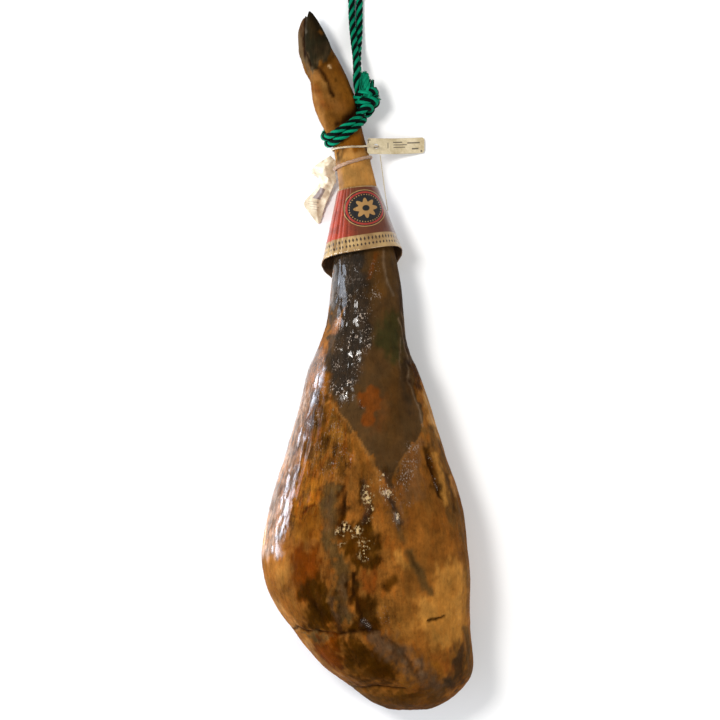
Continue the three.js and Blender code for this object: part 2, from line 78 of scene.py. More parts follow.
FRAYS = [
    {"at": (-4.5, 303, 45), "way": (0, 27, 1), "root": 5.4, "spread": -1.6, "fibres": 130, "dark": 0.25,
     "seed": 51},
    {"at": (1.5, 305, 42), "way": (1.5, 17, 0), "root": 4.6, "spread": -0.6, "fibres": 80, "dark": 0.8,
     "seed": 54},
    {"at": (6, 301, 40), "way": (6.5, 3.5, -1), "root": 3.4, "spread": 2.4, "fibres": 40, "dark": 0.3,
     "seed": 52},
    {"at": (5, 309, 38), "way": (6, 2, -1), "root": 3.4, "spread": 2.2, "fibres": 30, "dark": 0.5,
     "seed": 53},
]
NOOSE = {"y": 268, "rise": 16, "turn": 25, "offset": 5.2, "spacing": 7.2, "points": 26}
WRAP_POINTS = 14
ROPE_LAY = {"Diameter": ROPE_DIAMETER, "Strand_Diameter": 3.6 * MM, "Lay_Length": 28 * MM, "Strands": 4,
            "Sides": 12}
FULLER_LAY = ROPE_LAY | {"Diameter": 9.6 * MM, "Strand_Diameter": 4.2 * MM}
FIBRE_LAY = {"Diameter": 0.9 * MM, "Strand_Diameter": 0.6 * MM, "Lay_Length": 9 * MM, "Strands": 2,
             "Sides": 5}

# The leg where the noose and the strings go round it: place along it, left, right, low, high and
# the height where it is widest.
ANKLE_STATIONS = [
    (298, -63.8, -13.4, 9, 50, 28),
    (275.5, -55.5, -9.9, 11, 50, 30),
    (248, -40.8, -3.5, 14, 52, 33),
    (224.5, -37.3, 3, 16, 56, 36),
    (199, -34, 9.4, 19, 61, 40),
]
ROUNDNESS_ABOVE = 2.12
ROUNDNESS_BELOW = 2.2

# The two strings, from the right side over the front, and the thread. A string's shape is its
# strands' width and its lay, as shares of its diameter, the number of strands and their sides.
UPPER_TIE = {"diameter": 2.4, "left": 242.4, "right": 244.8, "from": 52, "to": 308, "gap": 0.5}
UPPER_TIE_END = [
    (-1, 245, 49.3), (5, 245.3, 46.8), (10.4, 245.5, 43.8), (12, 245.5, 40.2),
    (9.4, 245.4, 36.4), (6.4, 245.3, 32.8), (2, 244.8, 25.5),
]
LOWER_TIE = {"diameter": 4, "left": 219.5, "right": 233.4, "from": 0, "to": 345, "gap": 0.6}
TIE_ANGLE_STEP = 15
THREAD_DIAMETER = 1.2
STRING_SHAPE = (0.56, 5, 3, 8)
THREAD_SHAPE = (0.6, 4, 2, 6)
THREAD_ROUTE = [(14.2, 236.9, 32.2), (16.4, 219, 36), (19.4, 195, 41), (23, 170.5, 45.2)]

# The paper cone: its rims, its folds by angle and depth, and its print. The medallion's turn is
# in degrees and its place down is a share of the height. A lozenge row has its place on the band
# and its height.
CONE_TOP = {"x": -12, "y": 195.3, "z": 40.6, "radius": 23.4, "slope": 2.4, "lean": 1.8, "sag": 0}
CONE_FOOT = {"x": -7, "y": 114.8, "z": 48.2, "radius": 46.6, "slope": 7.5, "lean": 17, "sag": 10}
CONE_THICKNESS = 0.8
CONE_FOLDS = [(97, 0.6), (112, 1), (123, 1.4), (133, 1.5), (147, 1.1)]
FOLD_WIDTH = 2
CONE_ROWS, CONE_COLUMNS = 40, 320
CREAM_BAND_HEIGHT = 19
CREAM_EDGE = 1.4
MEDALLION = {"turn": 76, "down": 0.36, "half_width": 27, "half_height": 24}
BEADS = 36
PETALS = 8
LOZENGE_SPACING = 4.4
LOZENGE_ROWS = [(5.6, 2.4), (12.2, 1.8)]

# The card on its string, and the crumpled strip as rows across it.
CARD = {"left": -1, "right": 67, "tied": 245.5, "free": 251.8, "half": 9.2, "corner": 3}
CARD_LOW = 4
CARD_RISE = 42
CARD_BEND = 1.5
CARD_HOLE = {"x": 9.4, "y": 245.4, "radius": 2.9}
CARD_THICKNESS = 0.7
CARD_ROWS, CARD_COLUMNS = 24, 90
CARD_SINK = 0.45
HOLE_SIDES = 28
PUNCH_REACH = 5
STRIP_ROWS = [
    [(-44, 237, 22), (-40, 233, 19.5), (-36.5, 229, 17)],
    [(-61.5, 226, 18), (-50, 223, 24), (-38.5, 218, 16)],
    [(-67, 219, 11), (-53, 216.5, 20), (-38, 212.5, 14)],
    [(-56.8, 210.5, 9), (-47, 211, 16.5), (-37.8, 207.5, 12)],
    [(-62, 199, 6), (-52, 200, 11), (-42, 200, 9.5)],
    [(-75.5, 183.3, 3), (-60, 185, 8), (-46, 190, 8)],
    [(-68.5, 170.5, 2.4), (-60, 171, 5), (-51, 178.3, 5)],
    [(-60.5, 159.8, 1.6), (-58.3, 158.6, 2), (-56, 160.2, 2.2)],
]
STRIP_THICKNESS = 0.6
STRIP_STEPS, STRIP_COLUMNS = 70, 22
STRIP_LENGTH, STRIP_HALF_WIDTH = 80, 11
CRUMPLE_DEPTH = 2.4 * MM
FLAT_BELOW = 8 * MM


def linear(red, green, blue):
    """A colour given as screen values from 0 to 255, as the renderer's own."""
    values = []
    for value in (red, green, blue):
        part = value / 255
        values.append(part / 12.92 if part <= 0.04045 else ((part + 0.055) / 1.055) ** 2.4)
    return (*values, 1.0)


PALETTE = {
    "fat": linear(110, 68, 24),
    "amber": linear(116, 70, 15),
    "yellow fat": linear(148, 101, 43),
    "pale fat": linear(151, 106, 57),
    "deep orange": linear(78, 34, 0),
    "rust": linear(98, 49, 11),
    "brown": linear(78, 48, 12),
    "skin": linear(65, 46, 25),
    "skin edge": linear(119, 80, 37),
    "green skin": linear(46, 42, 20),
    "wet dark": linear(37, 29, 20),
    "dark": linear(46, 24, 1),
    "black brown": linear(23, 7, 1),
    "olive dark": linear(50, 27, 0),
    "mould": linear(73, 53, 26),
    "grey crust": linear(82, 60, 41),
    "sinew": linear(107, 89, 70),
    "shank": linear(148, 106, 54),
    # Painted highlight colour for the streak down the shank's left side.
    "painted shank highlight": linear(149, 114, 86),
    # Painted sheen colour for the side of the left flank.
    "painted flank sheen": linear(150, 112, 84),
    "pale shank": linear(170, 140, 100),
    # Painted sheen colour for the rim of the left flank.
    "pale rim": linear(172, 140, 118),
    "trotter": linear(94, 58, 17),
    "pale trotter": linear(135, 92, 47),
    "horn": linear(29, 25, 14),
    "horn ridge": linear(94, 85, 72),
    "pale horn": linear(88, 69, 46),
    "flush": linear(128, 83, 51),
}


@dataclass
class Mark:
    """A field, streak or spot on the ham: a line or a bordered area, in pixels of the picture."""

    name: str
    colour: str = ""
    line: list = None
    area: list = None
    width: float = 0
    soft: float = 3
    strength: float = 1
    relief: float = 0
    streaks: float = 0
    patchy: float = 0.4


# Where the crust over the butt has its lumps.
CRUST_LUMPS = [(389, 647), (400, 650), (404, 660), (417, 662), (420, 673), (432, 678)]

MARKS = [
    # The trotter and the ankle.
    Mark("trotter skin", "trotter", area=[(280, 0), (362, 0), (374, 150), (322, 150)], soft=4,
         patchy=0),
    Mark("pale rim of the pastern", "pale trotter", line=[(316, 98), (319, 112), (326, 132)], width=7, soft=9,
         strength=0.8),
    Mark("pale pastern", "pale trotter", line=[(330, 96), (338, 106)], width=10, soft=14, strength=0.3),
    Mark("amber front of the pastern", "amber", line=[(334, 60), (342, 80), (350, 102)], width=8, soft=10,
         strength=0.4),
    Mark("hairy coronet", "dark", line=[(332, 56), (322, 66), (315, 71)], width=5, soft=6, strength=0.75),
    Mark("shade beside the dewclaw", "black brown", line=[(317, 68), (323, 76), (329, 85), (334, 94)],
         width=3.4, soft=3.6, strength=0.9, relief=-2),
    Mark("pit below the dewclaw", "black brown", line=[(331, 91), (333, 95)], width=3.4, soft=3, strength=0.8,
         relief=-1.2),
    Mark("second pit below the dewclaw", "dark", line=[(317, 91), (321, 92)], width=3.2, soft=3,
         strength=0.9, relief=-1),
    Mark("dewclaw", "shank", area=[
        (313, 70), (317, 73), (325, 83), (332, 95), (323, 98), (315, 96), (311, 86)], soft=4,
         strength=0.18, relief=4),
    Mark("pale middle of the dewclaw", "shank", line=[(320, 79), (325, 86)], width=4, soft=5, strength=0.55),
    Mark("rusty foot of the dewclaw", "rust", line=[(316, 88), (320, 96)], width=5, soft=6, strength=0.6),
    Mark("dewclaw tip", "pale trotter", line=[(314, 71), (317, 78)], width=5, soft=5, strength=0.9),
    # Painted shadow: a black-brown band on the pastern just above the noose, where the rope shades it.
    Mark("painted shadow above the noose", "black brown", line=[(338, 124), (348, 117), (356, 108)], width=8, soft=8,
         strength=0.95, patchy=0.1),
    Mark("wrinkle of the pastern", "rust", line=[(321, 103), (329, 107)], width=6, soft=6, strength=0.6),
    Mark("pale hair above the noose", "pale trotter", line=[(318, 118), (324, 128)], width=6, soft=6,
         strength=0.5),
    Mark("dark spots of the pastern", "dark", line=[(334, 79), (335, 81)], width=2, soft=2, strength=0.7),
    Mark("pale spot of the pastern", "pale shank", line=[(329, 66), (331, 68)], width=2, soft=2),
    Mark("fold above the noose", "dark", line=[(330, 114), (342, 118)], width=4, soft=6, strength=0.5),
    Mark("ankle", "amber", area=[(326, 134), (368, 134), (374, 160), (330, 160)], soft=6, strength=0.7),
    Mark("rust spot of the ankle", "rust", line=[(348, 150), (356, 156)], width=6, soft=5, strength=0.6),
    # The shank, and the dark skin of the hock down to its pointed tip.
    Mark("shank", "shank", area=[(330, 152), (372, 150), (396, 262), (330, 262)], soft=8, patchy=0.1),
    Mark("dark spot of the shank", "wet dark", area=[(334, 148), (345, 148), (345, 163), (334, 165)],
         soft=4, strength=0.8),
    # Painted highlight: a pale pinkish streak down the shank's left side, where the light from the left
    # catches it.
    Mark("painted highlight on the shank's side", "painted shank highlight", line=[(338, 166), (340, 188)], width=7, soft=6,
         strength=0.8),
    Mark("skin tongue", "skin", area=[
        (333, 236), (392, 236), (400, 262), (408, 345), (411, 380), (419, 400), (423, 425),
        (419, 438), (401, 458), (390, 489), (377, 468), (364, 447), (351, 427), (334, 404),
        (326, 386), (328, 345), (332, 300)], soft=2,
         patchy=0.05),
    Mark("wet hock", "wet dark", area=[
        (332, 240), (361, 240), (365, 262), (369, 300), (373, 325), (366, 350), (358, 376),
        (346, 397), (334, 399), (328, 384), (330, 350), (335, 318), (333, 285)], soft=11, patchy=0.12),
    Mark("brown middle of the hock", "brown", line=[(374, 246), (377, 270), (380, 292)], width=10, soft=11,
         strength=0.5),
    Mark("rust fleck of the hock", "rust", line=[(377, 254), (373, 268), (369, 278)], width=3, soft=4,
         strength=0.6),
    Mark("green shade", "green skin", area=[
        (374, 332), (389, 314), (400, 314), (402, 340), (401, 368), (390, 362), (379, 348)], soft=15,
         patchy=0.1),
    Mark("dark side of the hock", "black brown", line=[(400, 256), (402, 290), (404, 326)], width=6, soft=9,
         strength=0.75),
    Mark("upper tendon", "sinew", line=[(383, 250), (384, 270), (388, 283), (393, 296)], width=2, soft=2.5,
         strength=0.6, relief=0.7),
    Mark("shade between the tendons", "black brown", line=[(401, 330), (404, 352), (406, 372), (409, 392)],
         width=3.5, soft=4, strength=0.6),
    Mark("long tendon", "sinew", line=[
        (399, 318), (402, 340), (405, 357), (410, 385), (417, 407), (422, 426)], width=1, soft=1.8,
         strength=0.7, relief=0.6),
    Mark("outer tendon", "sinew", line=[(401, 312), (407, 340), (410, 366)], width=0.8, soft=1.8,
         strength=0.6, relief=0.5),
    Mark("short tendon", "sinew", line=[(399, 338), (399, 360), (401, 380)], width=0.8, soft=1.7,
         strength=0.55, relief=0.5),
    Mark("dark corner beside the tendon", "black brown", area=[
        (406, 342), (420, 364), (421, 392), (414, 392), (408, 372)], soft=6, strength=0.85),
    Mark("dark band beside the tendon", "wet dark", line=[(402, 366), (404, 392), (409, 412)], width=7,
         soft=6, strength=0.7),
    Mark("red patch of the skin", "rust", area=[
        (368, 385), (375, 385), (381, 394), (381, 404), (375, 414), (375, 424), (367, 429), (362, 425),
        (366, 412), (363, 404), (357, 401), (356, 396), (366, 393)], soft=3.5, strength=0.85, patchy=0.2),
    Mark("halo of the red patch", "rust", line=[(384, 398), (386, 410), (378, 428)], width=8, soft=12,
         strength=0.3),
    Mark("pit beside the red patch", "black brown", line=[(361, 402), (361, 409)], width=2, soft=2,
         strength=0.6, relief=-0.4),
    Mark("warm middle of the skin", "brown", line=[(392, 372), (394, 410), (388, 440)], width=14, soft=14,
         strength=0.35),
    # The left flank and the skin's borders.
    # Painted sheen: the pale side and rim of the left flank are partly the pale fat's own tone and partly
    # painted reflection of the low light from the left.
    Mark("painted sheen on the side of the flank", "painted flank sheen", line=[
        (300, 392), (290, 436), (280, 480), (273, 520), (270, 550)], width=16, soft=14, strength=0.7,
         patchy=0.5),
    Mark("painted sheen on the rim of the flank", "pale rim", line=[
        (303, 396), (291, 436), (276, 480), (267, 520), (263, 552)], width=11, soft=9, strength=0.85,
         patchy=0.25),
    Mark("flushed edge", "flush", area=[(313, 345), (326, 335), (322, 372), (309, 384), (306, 378)], soft=9,
         strength=0.6),
    Mark("flushed spot", "flush", line=[(336, 322), (333, 331)], width=5, soft=4, strength=0.75),
    Mark("rim of the wet hock", "skin edge", line=[(344, 308), (336, 324)], width=2.2, soft=2),
    Mark("amber spot at the edge", "amber", line=[(325, 376), (323, 394)], width=9, soft=5),
    Mark("dark spot under it", "dark", line=[(323, 399), (321, 412)], width=11, soft=8, strength=0.85),
    Mark("dark streaks of the flank", "dark", line=[(308, 424), (305, 444), (306, 462)], width=5, soft=6,
         strength=0.7),
    Mark("dark streak beside the skin", "dark", line=[(329, 416), (333, 436), (343, 474)], width=8, soft=10,
         strength=0.75, patchy=0.3),
    Mark("streaked left side", "brown", area=[
        (314, 396), (332, 404), (348, 432), (352, 470), (308, 474), (306, 430)], soft=10, strength=0.88),
    Mark("dark top of the left side", "olive dark", line=[(320, 398), (320, 420), (326, 446)], width=12,
         soft=12, strength=0.7),
    Mark("amber under the skin", "amber", line=[(354, 440), (361, 458), (366, 486)], width=9, soft=8,
         strength=0.2),
    Mark("brown margin of the skin", "brown", line=[(340, 424), (354, 446), (366, 468)], width=8, soft=8,
         strength=0.6, patchy=0.3),
    Mark("left border of the skin", "skin edge", line=[
        (331, 402), (351, 428), (363, 445), (373, 463), (382, 480)], width=2, soft=2, strength=0.8,
         relief=0.6),
    Mark("right border of the skin", "skin edge", line=[(420, 436), (411, 448), (401, 460), (395, 474)],
         width=2.2, soft=2, strength=0.7, relief=0.5),
    Mark("dark tip of the skin", "dark", line=[(385, 471), (390, 486)], width=8, soft=4, strength=0.6),
    Mark("yellow strip on the right", "yellow fat", area=[
        (421, 384), (429, 401), (438, 424), (444, 452), (436, 440), (425, 408)], soft=4),
    # The right side: the pale strip, the crust and the groove.
    Mark("pale middle of the strip", "pale shank", line=[(425, 393), (433, 414), (440, 440)], width=5, soft=6,
         strength=0.5, patchy=0.3),
    Mark("mouldy right flank", "mould", area=[
        (421, 425), (434, 428), (447, 462), (460, 512), (462, 540), (450, 520), (436, 462)], soft=6,
         strength=0.7),
    Mark("crust beside the groove", "grey crust", area=[
        (402, 452), (420, 442), (424, 500), (402, 504), (395, 488)], soft=10, strength=0.45),
    Mark("groove", relief=-2.4, line=[(427, 452), (431, 466), (436, 482), (441, 498)], width=2, soft=4),
    Mark("dark groove", "dark", area=[
        (424, 446), (429, 446), (434, 464), (440, 482), (445, 502), (437, 498), (430, 480)], soft=7,
         strength=0.9, patchy=0.35),
    Mark("floor of the groove", "black brown", line=[(428, 454), (432, 472), (439, 496)], width=2, soft=3,
         strength=0.8, relief=-0.6),
    Mark("yellow lip of the groove", "yellow fat", line=[(434, 454), (438, 468), (443, 484), (446, 504)],
         width=5, soft=4, strength=1, patchy=0.4),
    Mark("mouldy side of the lip", "pale fat", line=[(450, 478), (455, 494)], width=5, soft=4, strength=0.7),
    Mark("second groove", "dark", line=[(446, 474), (452, 494), (455, 512)], width=3, soft=3, strength=0.7,
         relief=-0.8),
    # The furrows below the tip of the skin, and the mouldy streak.
    Mark("furrow under the tip", "dark", line=[(388, 494), (393, 508), (400, 524)], width=5, soft=5,
         relief=-1.4),
    Mark("mouldy lip of the furrow", "mould", line=[(393, 512), (398, 526), (404, 540)], width=7, soft=5,
         strength=0.7),
    Mark("middle furrow", "dark", area=[
        (359, 478), (363, 484), (367, 498), (372, 508), (372, 524), (364, 526), (362, 510), (359, 500)],
         soft=5, strength=0.9, patchy=0.6),
    Mark("floor of the middle furrow", "black brown", line=[(361, 486), (363, 500), (366, 520)], width=1.5,
         soft=3, strength=0.6, relief=-1.4),
    Mark("ragged side of the furrow", "olive dark", line=[(369, 500), (368, 530)], width=5, soft=6,
         strength=0.7),
    Mark("left furrow", "black brown", area=[
        (339, 480), (344, 484), (348, 500), (348, 518), (344, 526), (339, 520), (340, 500)], soft=5,
         strength=0.85, patchy=0.3),
    Mark("floor of the left furrow", "black brown", line=[(345, 486), (346, 502), (343, 520)], width=1.5,
         soft=3, strength=0.6, relief=-1.3),
    Mark("mouldy streak", "mould", area=[
        (322, 478), (339, 484), (339, 520), (335, 540), (351, 572), (351, 624), (337, 626), (334, 580),
        (322, 540), (320, 505)], soft=6, patchy=0.08),
    Mark("grey heart of the mouldy streak", "grey crust", line=[(330, 500), (327, 528)], width=8, soft=9,
         strength=0.35, patchy=0.15),
    Mark("grey foot of the mouldy streak", "grey crust", line=[(342, 576), (345, 612)], width=6, soft=7,
         strength=0.5, patchy=0.2),
    Mark("amber field", "amber", area=[
        (300, 462), (316, 462), (321, 500), (320, 540), (298, 540), (290, 500)], soft=11, strength=1,
         patchy=0.15),
    Mark("rusty floor of the amber field", "deep orange", area=[
        (298, 520), (306, 510), (316, 508), (320, 530), (308, 538), (297, 532)], soft=9, strength=0.4),
    Mark("crack in the amber field", "deep orange", line=[(305, 514), (309, 508), (315, 506)], width=2.4,
         soft=2.5, relief=-1),
    # The left rump.
    Mark("orange field", "deep orange", area=[
        (292, 548), (306, 540), (321, 550), (322, 584), (304, 602), (290, 584)], soft=15, strength=0.95,
         patchy=0.1),
    Mark("yellow left rump", "yellow fat", area=[
        (278, 548), (287, 552), (290, 576), (284, 586), (274, 580)], soft=10, strength=0.35),
    Mark("brown left rump", "brown", line=[(284, 580), (292, 600), (302, 618)], width=7, soft=8,
         strength=0.5),
    Mark("pale rim of the rump", "pale fat", line=[(268, 594), (284, 614), (298, 629)], width=4, soft=5,
         strength=0.6),
    Mark("dark rump", "olive dark", area=[
        (299, 586), (316, 574), (330, 584), (338, 612), (345, 632), (304, 631), (306, 606)], soft=10,
         patchy=0.15),
    Mark("darkest rump", "black brown", line=[(304, 588), (314, 600), (324, 622)], width=9, soft=12,
         strength=0.5),
    # The pocket, and the dark streak that runs down from it.
    Mark("hollow of the meat pocket", relief=-1.4, area=[
        (340, 524), (352, 526), (366, 524), (374, 534), (374, 550), (366, 564), (354, 552)], soft=9),
    Mark("meat pocket", "olive dark", area=[
        (336, 521), (346, 514), (352, 522), (366, 520), (378, 532), (378, 548), (382, 564), (370, 571),
        (354, 568), (346, 556), (339, 546)], soft=7, strength=0.95, patchy=0.3),
    Mark("dark right of the pocket", "dark", line=[(362, 552), (372, 560), (377, 566)], width=7,
         soft=7, strength=0.6, patchy=0.3),
    Mark("dark corner of the pocket", "black brown", line=[(338, 524), (350, 528)], width=6, soft=6,
         strength=0.8),
    Mark("orange under the pocket", "rust", area=[(359, 572), (376, 570), (378, 592), (361, 594)],
         soft=7, strength=0.75, patchy=0.3),
    Mark("dark streak of the rump", "dark", area=[
        (348, 568), (358, 571), (361, 592), (376, 598), (381, 616), (379, 634), (351, 633), (353, 612),
        (349, 594)], soft=8, strength=0.95, patchy=0.1),
    Mark("darkest side of the streak", "black brown", line=[(354, 574), (354, 600), (362, 620)], width=5,
         soft=7, strength=0.8),
    Mark("pale lip of the dark rump", "skin edge", line=[(331, 574), (330, 590), (328, 600)], width=3, soft=5,
         strength=0.6, patchy=0.2),
    Mark("foot of the dark streak", "black brown", line=[(352, 630), (366, 631)], width=9, soft=7,
         strength=0.6),
    Mark("grey lip of the rump", "grey crust", line=[(332, 600), (340, 628)], width=4, soft=4, strength=0.6),
    Mark("shade over the crease", "olive dark", line=[(306, 624), (336, 628), (372, 626)], width=8, soft=10,
         strength=0.6),
    # The butt below the upper crease.
    # The creases are drawn as dark lines: partly a thin crack, partly painted shade in the fold.
    Mark("upper crease", "black brown", line=[
        (296, 628), (320, 632), (336, 634), (348, 631), (366, 630), (380, 631)], width=2.4, soft=4,
         relief=-2.4),
    # A grey-brown wedge just below the upper crease.
    Mark("grey-brown wedge below the crease", "mould", area=[(299, 631), (334, 635), (326, 642), (316, 643)], soft=3),
    Mark("orange cheek of the butt", "deep orange", area=[
        (314, 642), (334, 638), (346, 656), (342, 670), (330, 668), (318, 656)], soft=14, patchy=0.1),
    Mark("bright orange of the cheek", "rust", line=[(322, 650), (333, 661)], width=8, soft=10,
         strength=0.7, patchy=0.2),
    Mark("pale rim of the butt", "pale fat", line=[(306, 640), (322, 660), (342, 676)], width=4, soft=4,
         strength=0.6),
    Mark("dark butt", "olive dark", area=[
        (340, 644), (360, 640), (384, 650), (404, 682), (360, 684), (346, 668)], soft=14, strength=0.95),
    Mark("olive fleck of the butt", "brown", line=[(352, 668), (372, 676)], width=5, soft=8, strength=0.5),
    Mark("grey fleck of the butt", "grey crust", line=[(370, 638), (378, 642)], width=7, soft=6,
         strength=0.7),
    # Painted shade in the lower crease, over a thin crack.
    Mark("lower crease", "black brown", line=[
        (355, 687), (366, 688), (377, 685), (394, 688), (404, 688)], width=2, soft=3.6, relief=-2.2),
    Mark("end of the butt", "brown", area=[
        (366, 690), (404, 691), (450, 680), (446, 700), (430, 709), (382, 709)], soft=5),
    Mark("dark end of the butt", "olive dark", line=[(400, 697), (420, 696)], width=7, soft=6, strength=0.45),
    Mark("mould on the butt's edge", "mould", line=[(352, 684), (364, 696), (382, 707)], width=5, soft=4,
         strength=0.8),
    Mark("amber fleck of the butt", "amber", line=[(404, 682), (416, 684)], width=8, soft=6, strength=0.8),
    # The cushion of fat on the right, and its furrow.
    Mark("yellow fat cushion", "yellow fat", area=[
        (434, 572), (452, 560), (467, 566), (468, 622), (458, 646), (436, 648), (415, 626),
        (417, 594), (432, 598)], soft=12, patchy=0.2),
    Mark("amber beside the cushion", "yellow fat", area=[(384, 606), (412, 600), (418, 640), (390, 640)],
         soft=16, strength=0.4),
    Mark("yellow spot above the cushion", "yellow fat", line=[(400, 552), (408, 566)], width=8, soft=7,
         strength=0.7),
    Mark("mouldy furrow of the rump", "mould", line=[(409, 551), (417, 568), (430, 593)], width=8, soft=5,
         strength=0.95, patchy=0.15),
    Mark("slit of the furrow", "dark", line=[(410, 552), (414, 562), (419, 572)], width=2.4, soft=3,
         strength=0.6, relief=-0.8),
    Mark("dark knot", "dark", line=[(386, 588), (389, 582), (394, 579)], width=8, soft=6, strength=0.9,
         relief=-0.8),
    Mark("slit in the cushion", "dark", line=[(429, 621), (436, 619), (444, 615.5)], width=2.6, soft=1.8,
         relief=-1.6),
    # The crust over the butt and the right corner.
    Mark("cracked crust", "grey crust", line=[(385, 644), (402, 656), (418, 669), (436, 682)], width=20,
         soft=15, strength=0.9, patchy=0.6),
    Mark("dark side of the crust", "dark", line=[(398, 652), (408, 664), (414, 672)], width=8, soft=8,
         strength=0.7),
    Mark("crack in the crust", "dark", line=[(391, 641), (401, 648), (411, 662)], width=2.4, soft=3,
         strength=0.7, relief=-0.9),
    *[Mark("lump of the crust", "sinew", line=[(x, y), (x + 2, y + 1)], width=5, soft=6, strength=0.3,
           relief=0.7) for x, y in CRUST_LUMPS],
    *[Mark("gap between the lumps", "black brown", line=[(x + 5, y - 2), (x + 4, y + 5)], width=1.2, soft=3,
           strength=0.45, relief=-0.5) for x, y in CRUST_LUMPS],
    Mark("amber under the crust", "amber", line=[(436, 664), (441, 674)], width=8, soft=7, strength=0.8),
    Mark("dark right corner", "wet dark", area=[
        (453, 648), (463, 640), (466, 676), (456, 690), (446, 688)], soft=9, strength=0.85),
    Mark("rusty spot beside the corner", "rust", line=[(438, 658), (446, 668)], width=9, soft=9,
         strength=0.6),
    Mark("mouldy right corner", "mould", line=[(465, 630), (470, 652), (468, 674)], width=7, soft=5,
         strength=0.8),
    Mark("mouldy right rim", "mould", line=[(460, 520), (466, 560), (469, 610)], width=4, soft=4,
         strength=0.5),
]

# Where the surface is wet and glossy.
WET_MARKS = [
    Mark("hock", area=[
        (334, 300), (366, 290), (371, 330), (364, 370), (346, 396), (334, 396), (328, 350)], soft=12,
         strength=0.2),
    Mark("left side of the hock", line=[(336, 252), (335, 284), (332, 302)], width=9, soft=6),
    Mark("upper hock", area=[(332, 240), (362, 240), (366, 290), (334, 300)], soft=10, strength=0.25),
    Mark("left flank", line=[(314, 362), (300, 404), (288, 446), (280, 492), (275, 526)], width=26, soft=10),
    Mark("foot of the left flank", line=[(276, 522), (272, 548)], width=15, soft=13, strength=0.85),
    Mark("inner flank", line=[(314, 388), (302, 440), (296, 490)], width=16, soft=20, strength=0.22),
    Mark("middle furrow", line=[(364, 484), (366, 500), (366, 524)], width=5, soft=6, strength=0.3),
    Mark("tip", line=[(384, 480), (392, 505), (400, 522)], width=10, soft=10, strength=0.25),
    Mark("dark streak", line=[(362, 622), (366, 628)], width=5, soft=6, strength=0.7),
]

# Where crumbs and drops stand out as small bright glints, painted into the colour as flecks of painted
# highlight.
GLINT_MARKS = [
    Mark("right side of the hock", line=[(370, 290), (369, 318), (364, 342)], width=10, soft=10),
    Mark("foot of the hock", line=[(350, 322), (345, 356), (341, 392)], width=17, soft=12),
    Mark("middle of the hock", area=[(336, 300), (368, 290), (370, 340), (356, 380), (336, 390)], soft=12,
         strength=0.7),
    Mark("upper hock", area=[(334, 250), (364, 260), (368, 290), (336, 300)], soft=14, strength=0.12),
    Mark("streaked side", area=[(318, 404), (338, 420), (354, 460), (340, 476), (310, 470)], soft=14,
         strength=0.14),
    Mark("warm fleck of the hock", line=[(378, 262), (370, 284), (368, 294)], width=5, soft=5, strength=0.7),
    Mark("pit of the red patch", line=[(361, 403), (361, 407)], width=0.6, soft=2, strength=0.5),
    Mark("flank", line=[(326, 380), (318, 400), (308, 440)], width=10, soft=12, strength=0.4),
    Mark("furrows", line=[(366, 484), (369, 504), (368, 522)], width=7, soft=6, strength=0.9),
    Mark("pocket", line=[(339, 540), (341, 531), (347, 528)], width=8, soft=5),
    Mark("middle of the pocket", line=[(353, 535), (357, 528), (360, 533)], width=6, soft=5),
    Mark("right of the pocket", line=[(361, 541), (368, 546), (364, 556)], width=6, soft=6, strength=0.8),
    Mark("tip", line=[(382, 478), (390, 496), (396, 516)], width=9, soft=8, strength=0.8),
    Mark("crust", line=[(412, 450), (404, 478), (402, 500)], width=13, soft=14, strength=0.4),
    Mark("groove", line=[(430, 456), (434, 478), (439, 494)], width=2, soft=4, strength=0.6),
    Mark("dark streak", line=[(363, 621), (366, 628)], width=4, soft=4),
    Mark("foot of the streaks", line=[(383, 602), (386, 622)], width=3, soft=6, strength=0.3),
]

# Where the bits that glint are chunky instead of fine.
CHUNKY_MARKS = [
    Mark("pocket and furrows", area=[(336, 482), (376, 478), (382, 560), (350, 572), (334, 546)], soft=12),
    Mark("tip", line=[(382, 478), (390, 496), (400, 520)], width=14, soft=10, strength=0.7),
]

# How strongly the grain of the meat streaks the colour, where that differs from the usual.
USUAL_STREAKS = 0.3
STREAK_MARKS = [
    Mark("foot and shank", area=[(280, 0), (400, 0), (404, 262), (310, 262)], soft=14, streaks=0.14),
    Mark("skin tongue", area=[
        (333, 236), (392, 236), (400, 262), (408, 345), (411, 380), (419, 400), (423, 425),
        (401, 458), (390, 489), (364, 447), (334, 404), (328, 345)], soft=10, streaks=0.14),
    Mark("wet hock", area=[
        (333, 240), (361, 240), (366, 290), (370, 325), (362, 360), (346, 397), (333, 397)], soft=14,
         streaks=0.5),
    Mark("left flank", area=[
        (285, 350), (326, 396), (352, 435), (358, 478), (330, 510), (296, 520), (255, 560), (262, 430)],
         soft=20, streaks=1),
    Mark("rump", area=[(320, 470), (400, 470), (404, 640), (320, 640)], soft=24, streaks=0.5),
    Mark("fat cushion", area=[(408, 560), (480, 545), (480, 640), (420, 650)], soft=18, streaks=0.22),
]

